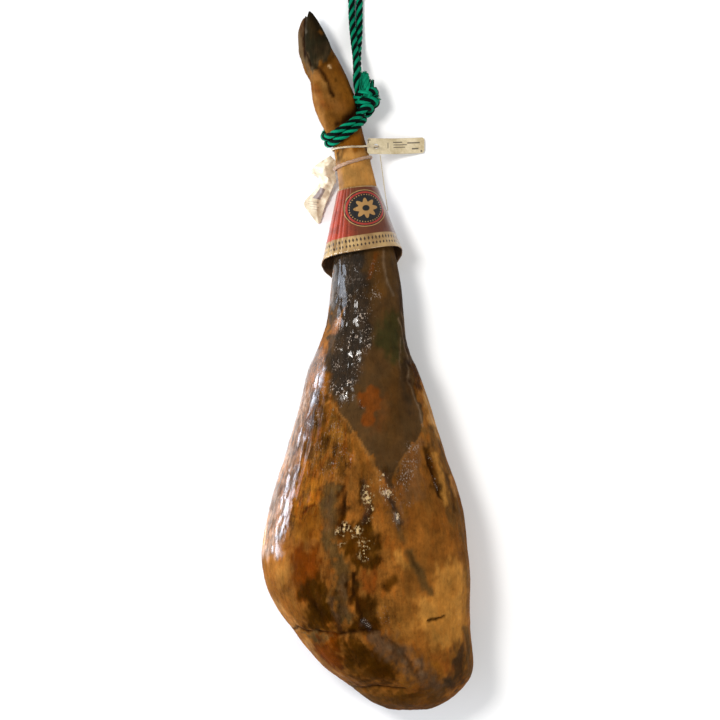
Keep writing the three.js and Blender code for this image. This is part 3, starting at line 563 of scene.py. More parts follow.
# The horn of the main claws, and what colours it.
HORN = Mark("claws", area=[
    (290, 0), (332, 0), (336, 48), (331, 52), (324, 60), (318, 66), (314, 70), (314, 76),
    (304, 74), (290, 50)], soft=4)
HORN_MARKS = [
    Mark("front claw", "horn", area=[
        (303, 0), (332, 0), (338, 48), (328, 62), (310, 68), (304, 56), (302, 36)], soft=2, patchy=0.06),
    Mark("grey rim of the horn", "pale horn", line=[(330, 44), (326, 54), (318, 62)], width=5, soft=8,
         strength=0.3),
    Mark("rear claw", "grey crust", line=[(304, 16), (300, 32), (300, 46)], width=7, soft=3, patchy=0.15),
    Mark("pale rear claw", "pale horn", line=[(300, 34), (300, 48), (303, 58)], width=7, soft=5,
         patchy=0.25),
    Mark("brown tip of the rear claw", "brown", line=[(302, 18), (299, 28)], width=4, soft=4, strength=0.3),
    Mark("foot of the rear claw", "pale horn", line=[(301, 48), (304, 60), (312, 76)], width=6, soft=4,
         strength=0.6, patchy=0.5),
    Mark("ridge of the front claw", "horn ridge", line=[(307, 16), (306.5, 25), (307.5, 33)], width=1.2,
         soft=2, strength=0.55, relief=0.4),
    Mark("cleft", "black brown", line=[(305, 18), (304, 36), (305, 54), (310, 66)], width=2, soft=2,
         relief=-1),
    Mark("pits of the rear claw", "black brown", line=[(300.5, 28), (301.5, 36)], width=1.6, soft=2,
         strength=0.8, relief=-0.5, patchy=0.9),
    Mark("dark tip of the front claw", "black brown", line=[(309, 10), (312, 22), (318, 34)], width=9,
         soft=10, strength=0.45),
    Mark("brown patch of the horn", "grey crust", line=[(316, 52), (324, 46)], width=8, soft=8,
         strength=0.15),
    Mark("smudge", "trotter", line=[(319, 31), (321, 33)], width=2.5, soft=3, strength=0.7),
]

# The ham's mesh: its grid, and how it is smoothed without shrinking.
HAM_VOXEL = 2.03 * MM
SMOOTHING_ROUNDS = 10
SMOOTHING_PUSHES = (0.55, -0.57)
SLICE = 5 * MM
BUMP_HEIGHT = 1.6 * MM

# How far the marks are moved, in pixels of the picture: on the hidden side, and along their borders.
HIDDEN_SHIFT = 26
HIDDEN_SWAY = 10
WAVER = 1.8
FRAYING = (3, 5)


def smooth_step(low, high, value):
    """0 at low and 1 at high, with a smooth rise between them."""
    t = np.clip((value - low) / (high - low), 0, 1)
    return t * t * (3 - 2 * t)


class Cloud:
    """Smooth random values from -1 to 1 over space, always the same for the same seed."""

    CELLS = 32
    LAYER_SHIFT = 0.37

    def __init__(self, seed):
        self.grid = np.random.default_rng(seed).uniform(-1, 1, (self.CELLS,) * 3)

    def at(self, points, size):
        """Values at points, with lumps of about the given size along each axis."""
        place = np.asarray(points, float) / np.asarray(size, float)
        base = np.floor(place).astype(int)
        t = place - base
        t = t * t * (3 - 2 * t)
        total = np.zeros(len(place))
        for corner in np.ndindex(2, 2, 2):
            index = (base + corner) % self.CELLS
            weight = np.prod(np.where(corner, t, 1 - t), axis=1)
            total += weight * self.grid[index[:, 0], index[:, 1], index[:, 2]]
        return total

    def layers(self, points, size, count):
        """The sum of finer and finer values, each half as large as the one before."""
        size = np.asarray(size, float)
        return sum(self.at(points + self.LAYER_SHIFT * k, size / 2 ** k) / 2 ** k for k in range(count))


def picture_place(points):
    """Where points of the ham, in metres, appear in the picture, in its pixels."""
    depth = VIEW_HEIGHT - points[:, 2]
    per_pixel = FIELD_WIDTH / PICTURE_PIXELS * depth / (VIEW_HEIGHT - FIELD_HEIGHT)
    across = PICTURE_PIXELS / 2 + (points[:, 0] - VIEW_CENTRE[0]) / per_pixel
    down = PICTURE_PIXELS / 2 - (points[:, 1] - VIEW_CENTRE[1]) / per_pixel
    return np.stack([across, down], axis=1)


def distance_to_line(places, line):
    """How far each place is from the nearest point of a line of straight stretches."""
    nearest = np.full(len(places), np.inf)
    for start, end in zip(line[:-1], line[1:]):
        start, step = np.array(start, float), np.subtract(end, start).astype(float)
        t = np.clip(((places - start) @ step) / max(step @ step, 1e-9), 0, 1)
        nearest = np.minimum(nearest, np.linalg.norm(places - start - t[:, None] * step, axis=1))
    return nearest


def depth_in_area(places, corners):
    """Distance of places from an area's border, positive inside it."""
    border = distance_to_line(places, [*corners, corners[0]])
    inside = np.zeros(len(places), bool)
    for a, b in zip(corners, [*corners[1:], corners[0]]):
        if a[1] == b[1]:
            continue
        crosses = (a[1] > places[:, 1]) != (b[1] > places[:, 1])
        crossing = a[0] + (places[:, 1] - a[1]) * (b[0] - a[0]) / (b[1] - a[1])
        inside ^= crosses & (places[:, 0] < crossing)
    return np.where(inside, border, -border)


def cover(places, mark, ragged=0):
    """How strongly a mark covers each place, from 0 to 1. ragged moves its soft border to and fro."""
    if mark.line:
        edge = mark.width / 2 - distance_to_line(places, mark.line)
    else:
        edge = depth_in_area(places, mark.area)
    return smooth_step(-mark.soft / 2, mark.soft / 2, edge + ragged * mark.soft) * mark.strength


def strongest_cover(places, marks):
    """How strongly the strongest of several marks covers each place."""
    total = np.zeros(len(places))
    for mark in marks:
        total = np.maximum(total, cover(places, mark))
    return total


class Wire:
    """One socket in a node tree. Sums and products of wires and numbers add their Math nodes."""

    def __init__(self, nodes, socket):
        self.nodes = nodes
        self.socket = socket

    def other(self, name):
        """Another output of the same node."""
        return Wire(self.nodes, self.socket.node.outputs[name])

    def maths(self, operation, *values):
        return self.nodes.node("ShaderNodeMath", values, operation=operation)

    def __add__(self, other):
        return self.maths("ADD", self, other)

    def __radd__(self, other):
        return self.maths("ADD", other, self)

    def __sub__(self, other):
        return self.maths("SUBTRACT", self, other)

    def __rsub__(self, other):
        return self.maths("SUBTRACT", other, self)

    def __mul__(self, other):
        return self.maths("MULTIPLY", self, other)

    def __rmul__(self, other):
        return self.maths("MULTIPLY", other, self)

    def __truediv__(self, other):
        return self.maths("DIVIDE", self, other)

    def __pow__(self, other):
        return self.maths("POWER", self, other)


class Nodes:
    """A node tree to add nodes to."""

    def __init__(self, tree):
        self.tree = tree

    def node(self, kind, inputs=(), output=0, **settings):
        """Any node: its settings first, then values or wires for its inputs, by place or by name."""
        node = self.tree.nodes.new(kind)
        for name, value in settings.items():
            setattr(node, name, value)
        pairs = inputs.items() if isinstance(inputs, dict) else enumerate(inputs)
        for key, value in pairs:
            if isinstance(value, Wire):
                self.tree.links.new(value.socket, node.inputs[key])
            else:
                node.inputs[key].default_value = value
        return Wire(self, node.outputs[output])

    def vector(self, operation, first, second):
        return self.node("ShaderNodeVectorMath", [first, second], operation=operation)

    def scaled(self, vector, factor):
        return self.node("ShaderNodeVectorMath", {"Vector": vector, "Scale": factor}, operation="SCALE")


class Material(Nodes):
    """A node material with one surface shader. Constants go on the shader's own sockets."""

    def __init__(self, name, **constants):
        self.material = bpy.data.materials.new(name)
        self.material.use_nodes = True
        super().__init__(self.material.node_tree)
        self.shader = self.tree.nodes["Principled BSDF"]
        for socket, value in constants.items():
            self.shader.inputs[socket.replace("_", " ")].default_value = value

    def place(self):
        return self.node("ShaderNodeTexCoord", output="Object")

    def attribute(self, name, output="Fac"):
        return self.node("ShaderNodeAttribute", output=output, attribute_name=name)

    def noise(self, place, scale, detail=3, roughness=0.55):
        return self.node("ShaderNodeTexNoise", {
            "Vector": place, "Scale": scale, "Detail": detail, "Roughness": roughness})

    def stretched_noise(self, place, scales, detail=2, roughness=0.55):
        """Noise with its own scale along each axis."""
        return self.noise(self.vector("MULTIPLY", place, scales), 1, detail, roughness)

    def shifted_noise(self, place, shift, scale, detail=3, roughness=0.55):
        """Noise from another part of space, so that it differs from the others of its kind."""
        return self.noise(self.vector("ADD", place, shift), scale, detail, roughness)

    def ramp_up(self, value, low, high):
        """0 up to low, 1 from high on, straight between them."""
        return self.node("ShaderNodeMapRange", {"Value": value, "From Min": low, "From Max": high})

    def mix(self, share, first, second, blend="MIX"):
        return self.node("ShaderNodeMix", {0: share, 6: first, 7: second}, output=2, data_type="RGBA",
                         blend_type=blend)

    def bump(self, height, distance):
        return self.node("ShaderNodeBump", {"Height": height, "Distance": distance, "Strength": 1})

    def finish(self, **wires):
        for socket, wire in wires.items():
            self.tree.links.new(wire.socket, self.shader.inputs[socket.replace("_", " ")])
        return self.material


def ham_material():
    """Cured skin and fat: painted tones with streaks, mottling, mould, pores, painted glints and a wet gloss.
    """
    m = Material("cured skin and fat", IOR=1.45, Specular_IOR_Level=0.015, Specular_Tint=(1, 0.8, 0.5, 1),
                 Coat_Roughness=0.1, Coat_IOR=1.75)
    place = m.place()
    grain = m.attribute("grain", "Vector")
    wet, horn, streaky, glint, chunky = (
        m.attribute(name) for name in ("wet", "horn", "streaky", "glint", "chunky"))
    meat = 1 - horn
    smooth_wet = wet * (1.1 - streaky)

    # The painted tone, lighter and darker along the grain and in patches.
    streak = m.stretched_noise(grain, (10, 10, 2.8), detail=7, roughness=0.68)
    fine = m.stretched_noise(grain, (44, 44, 9), detail=4, roughness=0.62)
    mottle = m.noise(place, 62, detail=6, roughness=0.64)
    grit = m.stretched_noise(place, (480, 280, 480), detail=3, roughness=0.65)
    slant = m.noise(m.node("ShaderNodeMapping", {
        "Vector": place, "Rotation": (0, 0, 0.42), "Scale": (420, 75, 420)}), 1, detail=3, roughness=0.6)
    shade = 1 + streaky * ((streak - 0.5) * 3.2 + (fine - 0.5) * 1.3) + (slant - 0.5) * smooth_wet * 7
    shade = shade + (mottle - 0.5) * (streaky * 1.6 + 1.1) + (grit - 0.5) * (streaky * 1.2 + 0.12)
    shade = shade.maths("MAXIMUM", shade, 0.14)
    colour = m.mix(meat, m.attribute("paint", "Color"), shade, "MULTIPLY")

    # Warmer patches, pale bloom, embers along the grain, soot and pores.
    warm = m.ramp_up(m.shifted_noise(place, (0.9, 0.2, 0.4), 38), 0.4, 0.66)
    colour = m.mix(warm * meat * 0.3, colour, (1.2, 0.9, 0.5, 1), "MULTIPLY")
    bloom = m.ramp_up(m.shifted_noise(place, (0.3, 0.1, 0.7), 120, detail=6, roughness=0.7), 0.58, 0.76)
    colour = m.mix(bloom * meat * 0.08, colour, linear(112, 78, 34))
    ember = m.ramp_up(m.stretched_noise(grain, (17, 17, 5), detail=4), 0.5, 0.62)
    colour = m.mix(ember * streaky * meat * 0.7, colour, (1.2, 0.82, 0.4, 1), "MULTIPLY")
    soot = m.ramp_up(m.stretched_noise(place, (85, 50, 85), detail=5, roughness=0.66), 0.54, 0.7)
    colour = m.mix(soot * meat * (streaky * 0.5 + 0.08), colour, linear(60, 40, 14))
    pores = m.ramp_up(m.stretched_noise(place, (330, 210, 330)), 0.62, 0.72)
    colour = m.mix(pores * meat * (streaky * 0.4 + 0.03), colour, linear(34, 18, 5))

    # Painted glints: bright flecks of painted highlight on fine drops and crumbs, or on chunks, in crowds
    # with gaps between.
    crumble = m.stretched_noise(place, (720, 380, 720), roughness=0.6)
    drops = m.stretched_noise(place, (700, 400, 700))
    chunks = m.stretched_noise(place, (360, 290, 360), detail=4, roughness=0.66)
    bits = drops + (chunks + 0.08 - drops) * chunky
    crowd = m.shifted_noise(place, (0.1, 0.6, 0.2), 75, detail=2)
    glints = m.ramp_up(bits * 0.8 + crumble * 0.2 + (crowd - 0.5) * 0.45, 0.595, 0.645) * glint
    # Painted highlight: the glints go into the colour as pinkish-white flecks, golden where they are chunky.
    colour = m.mix(glints * 0.8, colour, m.mix(chunky, linear(204, 182, 162), linear(222, 188, 130)))

    # The horn's long fibres.
    fibres = m.stretched_noise(place, (700, 60, 700), detail=3)
    colour = m.mix(horn, colour, fibres * 1.1 + mottle * 1.6 - 0.35, "MULTIPLY")

    # Gloss in lines along the grain, and the relief.
    hair = m.stretched_noise(grain, (58, 58, 9))
    lines = m.ramp_up(hair * 0.6 + fine * 0.4, 0.44, 0.56)
    gloss = wet * (1 - streaky * (1 - lines) * 0.75) * 0.95
    roughness = 0.55 - wet * 0.16 + horn * 0.1 + (mottle - 0.5) * 0.3
    height = streaky * (streak * 1.3 + fine * 1.3) * (wet + 1) + mottle * 0.5
    height = height + grit * (streaky * 0.5 + 0.04) - pores * 0.2
    height = height + (hair * 3 + crumble * 1.2) * wet * streaky + slant * smooth_wet * 3
    height = height * meat + crumble * (smooth_wet * 3 + glint * 0.7) + glints * 0.7
    height = height + (fibres + mottle) * horn * 0.5
    return m.finish(Base_Color=colour, Roughness=roughness, Coat_Weight=gloss + glints * 0.45,
                    Normal=m.bump(height, BUMP_HEIGHT))


def rope_material(name, dark, light):
    """Twisted synthetic fibre: fine threads that run along each strand."""
    m = Material(name, Roughness=0.75, Specular_IOR_Level=0.06)
    along = m.node("ShaderNodeCombineXYZ", {"Z": m.attribute("along") * 90})
    threads = m.noise(m.vector("ADD", m.scaled(m.attribute("round_way", "Vector"), 3.2), along), 1, detail=3)
    worn = m.noise(m.place(), 150, detail=4)
    colour = m.mix(m.ramp_up(threads * 0.7 + worn * 0.3, 0.35, 0.65), dark, light)
    return m.finish(Base_Color=colour, Normal=m.bump(threads, 0.6 * MM))


def string_material(name, dark, light):
    """Soft twisted cotton."""
    m = Material(name, Roughness=0.85, Sheen_Weight=0.3)
    fuzz = m.noise(m.place(), 900, detail=4)
    dirt = m.noise(m.place(), 90, detail=3)
    colour = m.mix(m.ramp_up(dirt * 0.6 + fuzz * 0.4, 0.36, 0.62), dark, light)
    return m.finish(Base_Color=colour, Normal=m.bump(fuzz, 0.3 * MM))


def cone_print_material():
    """Varnished printed paper: a red field, a cream band with small lozenges, a plain medallion."""
    m = Material("varnished print", Roughness=0.5, Specular_IOR_Level=0.1, Coat_Weight=0.85,
                 Coat_Roughness=0.04)
    across, down, fall, top = (m.attribute(name) for name in ("across", "down", "fall", "top"))
    cream_low, cream_high = linear(128, 98, 58), linear(166, 136, 88)
    ink, gold = linear(48, 30, 18), linear(150, 112, 62)
    grit = m.noise(m.place(), 700, detail=4, roughness=0.7)
    worn = m.noise(m.place(), 60, detail=4)
    colour = m.mix(m.ramp_up(across, -32, -12), linear(158, 50, 22), linear(88, 37, 0))
    colour = m.mix(m.ramp_up(worn * 0.5 + grit * 0.5, 0.42, 0.6) * 0.7, colour, linear(66, 20, 6))

    # The medallion: its radius is 1 at the rim, and the rings lie inside that.
    radius = ((across / MEDALLION["half_width"]) ** 2 + (down / MEDALLION["half_height"]) ** 2) ** 0.5
    turn = across.maths("ARCTAN2", down, across)
    rim = m.ramp_up(radius, 0.94, 0.95) * m.ramp_up(radius, 1.0, 0.985)
    ring = m.ramp_up(radius, 0.79, 0.8) * m.ramp_up(radius, 0.9, 0.89)
    beads = m.ramp_up(turn.maths("COSINE", turn * BEADS), 0.1, 0.4)
    beads = beads * m.ramp_up(radius, 0.69, 0.71) * m.ramp_up(radius, 0.76, 0.74)
    petals = turn.maths("COSINE", turn * PETALS) * 0.1 + 0.44
    rosette = m.ramp_up(radius / petals, 1.03, 0.97) * m.ramp_up(radius, 0.14, 0.17)
    colour = m.mix(m.ramp_up(radius, 1.02, 1.0), colour, linear(14, 10, 8))
    colour = m.mix(ring, colour, linear(138, 38, 22))
    for shape in (rim, beads, rosette):
        colour = m.mix(shape, colour, gold)

    # The cream band and edge, and the lozenges on the band.
    band = m.ramp_up(fall, 0, 0.4)
    edge = m.ramp_up(top, CREAM_EDGE + 0.2, CREAM_EDGE - 0.2)
    cream = m.mix(m.ramp_up(worn, 0.35, 0.65), cream_low, cream_high)
    colour = m.mix(edge, m.mix(band, colour, cream), cream)
    step = across.maths("FRACT", across / LOZENGE_SPACING) - 0.5
    reach = step.maths("ABSOLUTE", step) * 2.2
    for row, tall in LOZENGE_ROWS:
        offset = fall.maths("ABSOLUTE", fall - row)
        lozenge = m.ramp_up(reach + offset / (2 * tall), 0.66, 0.56)
        colour = m.mix(lozenge * band, colour, ink)
    crease = m.stretched_noise(m.place(), (90, 25, 90))
    return m.finish(Base_Color=colour, Normal=m.bump(crease + grit * 0.05, 0.8 * MM))


def paper_material(name, low, high, print_on=None):
    """Worn uncoated paper. print_on paints its print from the paper's own across and down."""
    m = Material(name, Roughness=0.72)
    fibres = m.noise(m.place(), 380, detail=5, roughness=0.7)
    stain = m.noise(m.place(), 55, detail=4)
    colour = m.mix(m.ramp_up(stain * 0.7 + fibres * 0.3, 0.36, 0.64), low, high)
    if print_on:
        colour = print_on(m, colour)
    return m.finish(Base_Color=colour, Normal=m.bump(fibres * 0.3 + stain, 0.4 * MM))


# The plain bars on the card and on the strip: middle across and down, half length and half height.
BAR_SOFTNESS = 0.1
CARD_BARS = [
    (2.2, 7, 1.8, 0.7), (1.2, 4.8, 0.7, 1.6), (24.5, 0.8, 0.5, 3.4), (64.5, -6.8, 1.1, 1.1),
    (36, 4.4, 5.5, 0.7), (39, 1.4, 8, 0.55), (38, -1.4, 7, 0.55), (55, 3.4, 7.5, 0.8),
    (57, -3.6, 4, 0.9),
]
STRIP_FIELD = (-1, 47, 4.6, 6.2)
STRIP_LINES = [(-2, 57, 5, 0.4), (-3, 59.5, 4, 0.4), (-1, 62, 5, 0.4), (-2, 64.5, 3, 0.4), (2, 24, 4, 0.4)]


def printed_bars(m, colour, bars, strength, ink):
    """Paints plain bars with slightly soft edges over a paper's colour."""
    across, down = m.attribute("across"), m.attribute("down")
    for x, y, half_length, half_height in bars:
        masks = []
        for place, middle, half in ((across, x, half_length), (down, y, half_height)):
            away = place.maths("ABSOLUTE", place - middle)
            masks.append(m.ramp_up(away, half + BAR_SOFTNESS, half - BAR_SOFTNESS))
        colour = m.mix(masks[0] * masks[1] * strength, colour, ink)
    return colour


def card_print(m, colour):
    return printed_bars(m, colour, CARD_BARS, 0.85, linear(60, 50, 42))


def strip_print(m, colour):
    colour = printed_bars(m, colour, [STRIP_FIELD], 0.8, linear(112, 96, 100))
    return printed_bars(m, colour, STRIP_LINES, 0.45, linear(96, 84, 76))


def new_piece(name, mesh):
    """An object at the origin that rides on the ham."""
    piece = bpy.data.objects.new(name, mesh)
    bpy.context.scene.collection.objects.link(piece)
    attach(piece, "root")
    return piece


def mesh_from(name, points, faces, materials, face_material=None):
    """A smoothly shaded mesh. face_material gives each face's material by number."""
    mesh = bpy.data.meshes.new(name)
    mesh.from_pydata([tuple(point) for point in points], [], faces)
    for material in materials:
        mesh.materials.append(material)
    if face_material is not None:
        mesh.polygons.foreach_set("material_index", face_material)
    mesh.polygons.foreach_set("use_smooth", [True] * len(mesh.polygons))
    mesh.update()
    return mesh


def plain_mesh(piece):
    """The object's mesh with its modifiers applied. The object itself is removed."""
    depsgraph = bpy.context.evaluated_depsgraph_get()
    mesh = bpy.data.meshes.new_from_object(piece.evaluated_get(depsgraph), depsgraph=depsgraph)
    bpy.data.objects.remove(piece)
    return mesh


def mesh_values(mesh, name):
    """One value list of a mesh, such as its points or its normals, as rows of three."""
    source, key = {"points": (mesh.vertices, "co"), "normals": (mesh.vertex_normals, "vector")}[name]
    values = np.zeros(len(source) * 3, np.float32)
    source.foreach_get(key, values)
    return values.reshape(-1, 3).astype(float)


def store(mesh, name, values):
    """Keeps one number, vector or colour for each point of a mesh."""
    values = np.asarray(values, np.float32)
    width = 1 if values.ndim == 1 else values.shape[1]
    kind, key = {1: ("FLOAT", "value"), 3: ("FLOAT_VECTOR", "vector"), 4: ("FLOAT_COLOR", "color")}[width]
    mesh.attributes.new(name, kind, "POINT").data.foreach_set(key, values.ravel())


def smooth_line(points, step=1.5 * MM, closed=False):
    """A smooth line through points given in millimetres, as points about one step apart."""
    points = [(Vector(point) + CENTRING) * MM for point in points]
    if closed:
        ends = [points[-1], *points, points[0], points[1]]
    else:
        ends = [2 * points[0] - points[1], *points, 2 * points[-1] - points[-2]]
    line = []
    for before, start, end, after in zip(ends, ends[1:], ends[2:], ends[3:]):
        count = max(2, round((end - start).length / step))
        for k in range(count):
            t = k / count
            line.append(0.5 * (
                2 * start + (end - before) * t
                + (2 * before - 5 * start + 4 * end - after) * t * t
                + (3 * start - before - 3 * end + after) * t ** 3))
    return line if closed else [*line, points[-1]]


def line_length(line):
    """The length of a line given as many points."""
    return sum((b - a).length for a, b in zip(line, line[1:]))


def even_turns(count):
    """Angles in radians that divide a whole turn evenly."""
    return [2 * math.pi * i / count for i in range(count)]


def laid_rope_tree():
    """Geometry nodes that lay round strands side by side in a right-handed twist along a path."""
    tree = bpy.data.node_groups.new("laid rope", "GeometryNodeTree")
    kinds = {
        "Path": "NodeSocketGeometry", "Diameter": "NodeSocketFloat", "Strand Diameter": "NodeSocketFloat",
        "Lay Length": "NodeSocketFloat", "Strands": "NodeSocketInt", "Sides": "NodeSocketInt",
        "Odd Material": "NodeSocketMaterial", "Even Material": "NodeSocketMaterial"}
    for name, kind in kinds.items():
        tree.interface.new_socket(name, in_out="INPUT", socket_type=kind)
    tree.interface.new_socket("Rope", in_out="OUTPUT", socket_type="NodeSocketGeometry")
    g = Nodes(tree)
    given = tree.nodes.new("NodeGroupInput")
    value = {name: Wire(g, given.outputs[name]) for name in kinds}
    path = g.node("GeometryNodeMeshToCurve", [value["Path"]])
    strands = g.node("GeometryNodeDuplicateElements", {
        "Geometry": path, "Amount": value["Strands"]}, domain="SPLINE")
    number = strands.other("Duplicate Index")
    length = g.node("GeometryNodeSplineParameter", output="Length")
    turn = (length / value["Lay Length"] + number / value["Strands"]) * (2 * math.pi)
    across = g.node("GeometryNodeInputNormal")
    over = g.vector("CROSS_PRODUCT", g.node("GeometryNodeInputTangent"), across)
    outward = g.vector("ADD", g.scaled(across, turn.maths("COSINE", turn)),
                       g.scaled(over, turn.maths("SINE", turn)))
    ring = (value["Diameter"] - value["Strand Diameter"]) * 0.5
    numbered = g.node("GeometryNodeStoreNamedAttribute", {
        "Geometry": strands, "Name": "strand", "Value": number}, data_type="FLOAT")
    measured = g.node("GeometryNodeStoreNamedAttribute", {
        "Geometry": numbered, "Name": "along", "Value": length}, data_type="FLOAT")
    laid = g.node("GeometryNodeSetPosition", {"Geometry": measured, "Offset": g.scaled(outward, ring)})
    radius = value["Strand Diameter"] * 0.5
    circle = g.node("GeometryNodeCurvePrimitiveCircle", {"Resolution": value["Sides"], "Radius": radius})
    way = g.scaled(g.node("GeometryNodeInputPosition"), radius ** -1)
    section = g.node("GeometryNodeStoreNamedAttribute", {
        "Geometry": circle, "Name": "round_way", "Value": way}, data_type="FLOAT_VECTOR")
    tubes = g.node("GeometryNodeCurveToMesh", {
        "Curve": laid, "Profile Curve": section, "Fill Caps": True})
    whole = g.node("GeometryNodeRealizeInstances", [g.node("GeometryNodeSetShadeSmooth", [tubes])])
    odd = g.node("GeometryNodeSetMaterial", {"Geometry": whole, "Material": value["Odd Material"]})
    strand = g.node("GeometryNodeInputNamedAttribute", {"Name": "strand"}, data_type="FLOAT")
    finished = g.node("GeometryNodeSetMaterial", {
        "Geometry": odd, "Selection": strand.maths("MODULO", strand, 2), "Material": value["Even Material"]})
    out = tree.nodes.new("NodeGroupOutput")
    tree.links.new(finished.socket, out.inputs["Rope"])
    return tree


def laid_rope(tree, line, closed=False, **sizes):
    """A mesh of strands laid along a line. A closed rope gets a whole number of twists."""
    edges = [(i, i + 1) for i in range(len(line) - 1)]
    if closed:
        edges.append((len(line) - 1, 0))
        length = line_length([*line, line[0]])
        sizes["Lay_Length"] = length / round(length / sizes["Lay_Length"])
    path = bpy.data.meshes.new("path")
    path.from_pydata([tuple(point) for point in line], edges, [])
    carrier = bpy.data.objects.new("path", path)
    bpy.context.scene.collection.objects.link(carrier)
    modifier = carrier.modifiers.new("laid rope", "NODES")
    modifier.node_group = tree
    identifiers = {item.name: item.identifier for item in tree.interface.items_tree}
    for name, size in sizes.items():
        modifier[identifiers[name.replace("_", " ")]] = size
    return plain_mesh(carrier)


def joined(name, meshes):
    """One mesh out of several, each with its own materials kept."""
    carriers = [bpy.data.objects.new(name, mesh) for mesh in meshes]
    for carrier in carriers:
        bpy.context.scene.collection.objects.link(carrier)
    with bpy.context.temp_override(active_object=carriers[0], selected_editable_objects=carriers):
        bpy.ops.object.join()
    mesh = carriers[0].data
    bpy.data.objects.remove(carriers[0])
    return mesh


def ankle_point(y, turn, offset):
    """A point on the leg at the ankle, or outside it, at a turn round it in radians, in millimetres."""
    stations = np.array(ANKLE_STATIONS[::-1], float)
    left, right, low, high, widest = (np.interp(y, stations[:, 0], stations[:, k]) for k in range(1, 6))
    left, right = left - offset, right + offset
    above = math.sin(turn) >= 0
    reach = (high - widest if above else widest - low) + offset
    power = 2 / (ROUNDNESS_ABOVE if above else ROUNDNESS_BELOW)
    across = math.copysign(abs(math.cos(turn)) ** power, math.cos(turn))
    up = math.copysign(abs(math.sin(turn)) ** power, math.sin(turn))
    return Vector(((left + right) / 2 + across * (right - left) / 2, y, widest + up * reach))


def place_camera():
    """The camera over the ham, turned so that the hoof is at the top."""
    camera = bpy.data.objects.new("camera", bpy.data.cameras.new("camera"))
    bpy.context.scene.collection.objects.link(camera)
    camera.location = (*VIEW_CENTRE, VIEW_HEIGHT)
    camera.data.angle = 2 * math.atan(FIELD_WIDTH / 2 / (VIEW_HEIGHT - FIELD_HEIGHT))
    bpy.context.scene.camera = camera


def frayed_end(tree, fray, green, black):
    """A tuft of loose fibres that spreads from the cut end of the rope."""
    draw = np.random.default_rng(fray["seed"])
    start, way = Vector(fray["at"]), Vector(fray["way"])
    side = way.orthogonal().normalized()
    over = way.normalized().cross(side)
    tufts = []
    for _ in range(fray["fibres"]):
        turn = draw.uniform(0, 2 * math.pi)
        spread = math.sqrt(draw.uniform(0, 1))
        outward = side * math.cos(turn) + over * math.sin(turn)
        root = start + outward * spread * fray["root"]
        tip = root + way * draw.uniform(0.75, 1.1) + outward * spread * fray["spread"]
        middle = (root + tip) / 2 + outward * 0.6
        first, second = (black, green) if draw.uniform() < fray["dark"] else (green, green)
        if draw.uniform() < fray["dark"] / 2:
            second = black
        line = smooth_line([root, middle, tip], step=1.6 * MM)
        tufts.append(laid_rope(tree, line, **FIBRE_LAY, Odd_Material=first, Even_Material=second))
    return joined("frayed end", tufts)


def make_rope(tree):
    """The hanging loop, which is a free cord, and the noose with its knot."""
    black = rope_material("black strand", linear(0, 3, 2), linear(2, 13, 10))
    green = rope_material("green strand", linear(0, 84, 60), linear(3, 146, 105))
    striped = {"Odd_Material": black, "Even_Material": green}
    route = smooth_line(LOOP_ROUTE)
    loop = new_piece("hanging_loop", laid_rope(tree, route, **ROPE_LAY, **striped))
    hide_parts("rope_loop")
    line_length(route)
    parts = []
    tilt = math.radians(NOOSE["turn"])
    for side in (1, -1):
        middle = NOOSE["y"] + side * NOOSE["spacing"] / 2 / math.cos(tilt)
        points = [ankle_point(middle + NOOSE["rise"] * math.cos(turn + tilt), turn, NOOSE["offset"])
                  for turn in even_turns(NOOSE["points"])]
        parts.append(laid_rope(tree, smooth_line(points, closed=True), closed=True, **ROPE_LAY, **striped))
    for wrap in KNOT_WRAPS:
        middle, across, over = (Vector(wrap[key]) for key in ("middle", "across", "over"))
        points = [middle + across * math.cos(turn) + over * math.sin(turn)
                  for turn in even_turns(WRAP_POINTS)]
        parts.append(laid_rope(tree, smooth_line(points, closed=True), closed=True, **FULLER_LAY, **striped))
    *strands, tail = KNOT_STRANDS
    for strand in strands:
        parts.append(laid_rope(tree, smooth_line(strand), **FULLER_LAY, **striped))
    parts.append(laid_rope(tree, smooth_line(tail), **FULLER_LAY, Odd_Material=green, Even_Material=green))
    parts.extend(frayed_end(tree, fray, green, black) for fray in FRAYS)
    noose = new_piece("noose_and_knot", joined("noose_and_knot", parts))
    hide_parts("rope_noose")


def twisted_string(tree, line, diameter, closed, shape, material):
    """A string of one material. shape gives its strands' width and lay as shares of its diameter."""
    strand, lay, strands, sides = shape
    return laid_rope(tree, line, closed=closed, Diameter=diameter, Strand_Diameter=diameter * strand,
                     Lay_Length=diameter * lay, Strands=strands, Sides=sides, Odd_Material=material,
                     Even_Material=material)


def make_strings(tree):
    """The two strings round the ankle and the thin thread to the cone."""
    cream = string_material("cream string", linear(132, 112, 82), linear(192, 176, 146))
    pink = string_material("pink string", linear(112, 78, 54), linear(170, 134, 104))
    for name, tie, end, material, node in (
            ("card_string", UPPER_TIE, UPPER_TIE_END, cream, "upper_tie"),
            ("ankle_string", LOWER_TIE, [], pink, "lower_tie")):
        points = []
        for angle in range(tie["from"], tie["to"] + 1, TIE_ANGLE_STEP):
            turn = math.radians(angle)
            y = tie["left"] + (tie["right"] - tie["left"]) * (math.cos(turn) + 1) / 2
            points.append(ankle_point(y, turn, tie["diameter"] / 2 + tie["gap"]))
        line = smooth_line([*points, *reversed(end)], step=1 * MM, closed=True)
        mesh = twisted_string(tree, line, tie["diameter"] * MM, True, STRING_SHAPE, material)
        piece = new_piece(name, mesh)
        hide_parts(node)
    line = smooth_line(THREAD_ROUTE, step=0.8 * MM)
    mesh = twisted_string(tree, line, THREAD_DIAMETER * MM, False, THREAD_SHAPE, cream)
    thread = new_piece("cone_thread", mesh)
    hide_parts("thread")


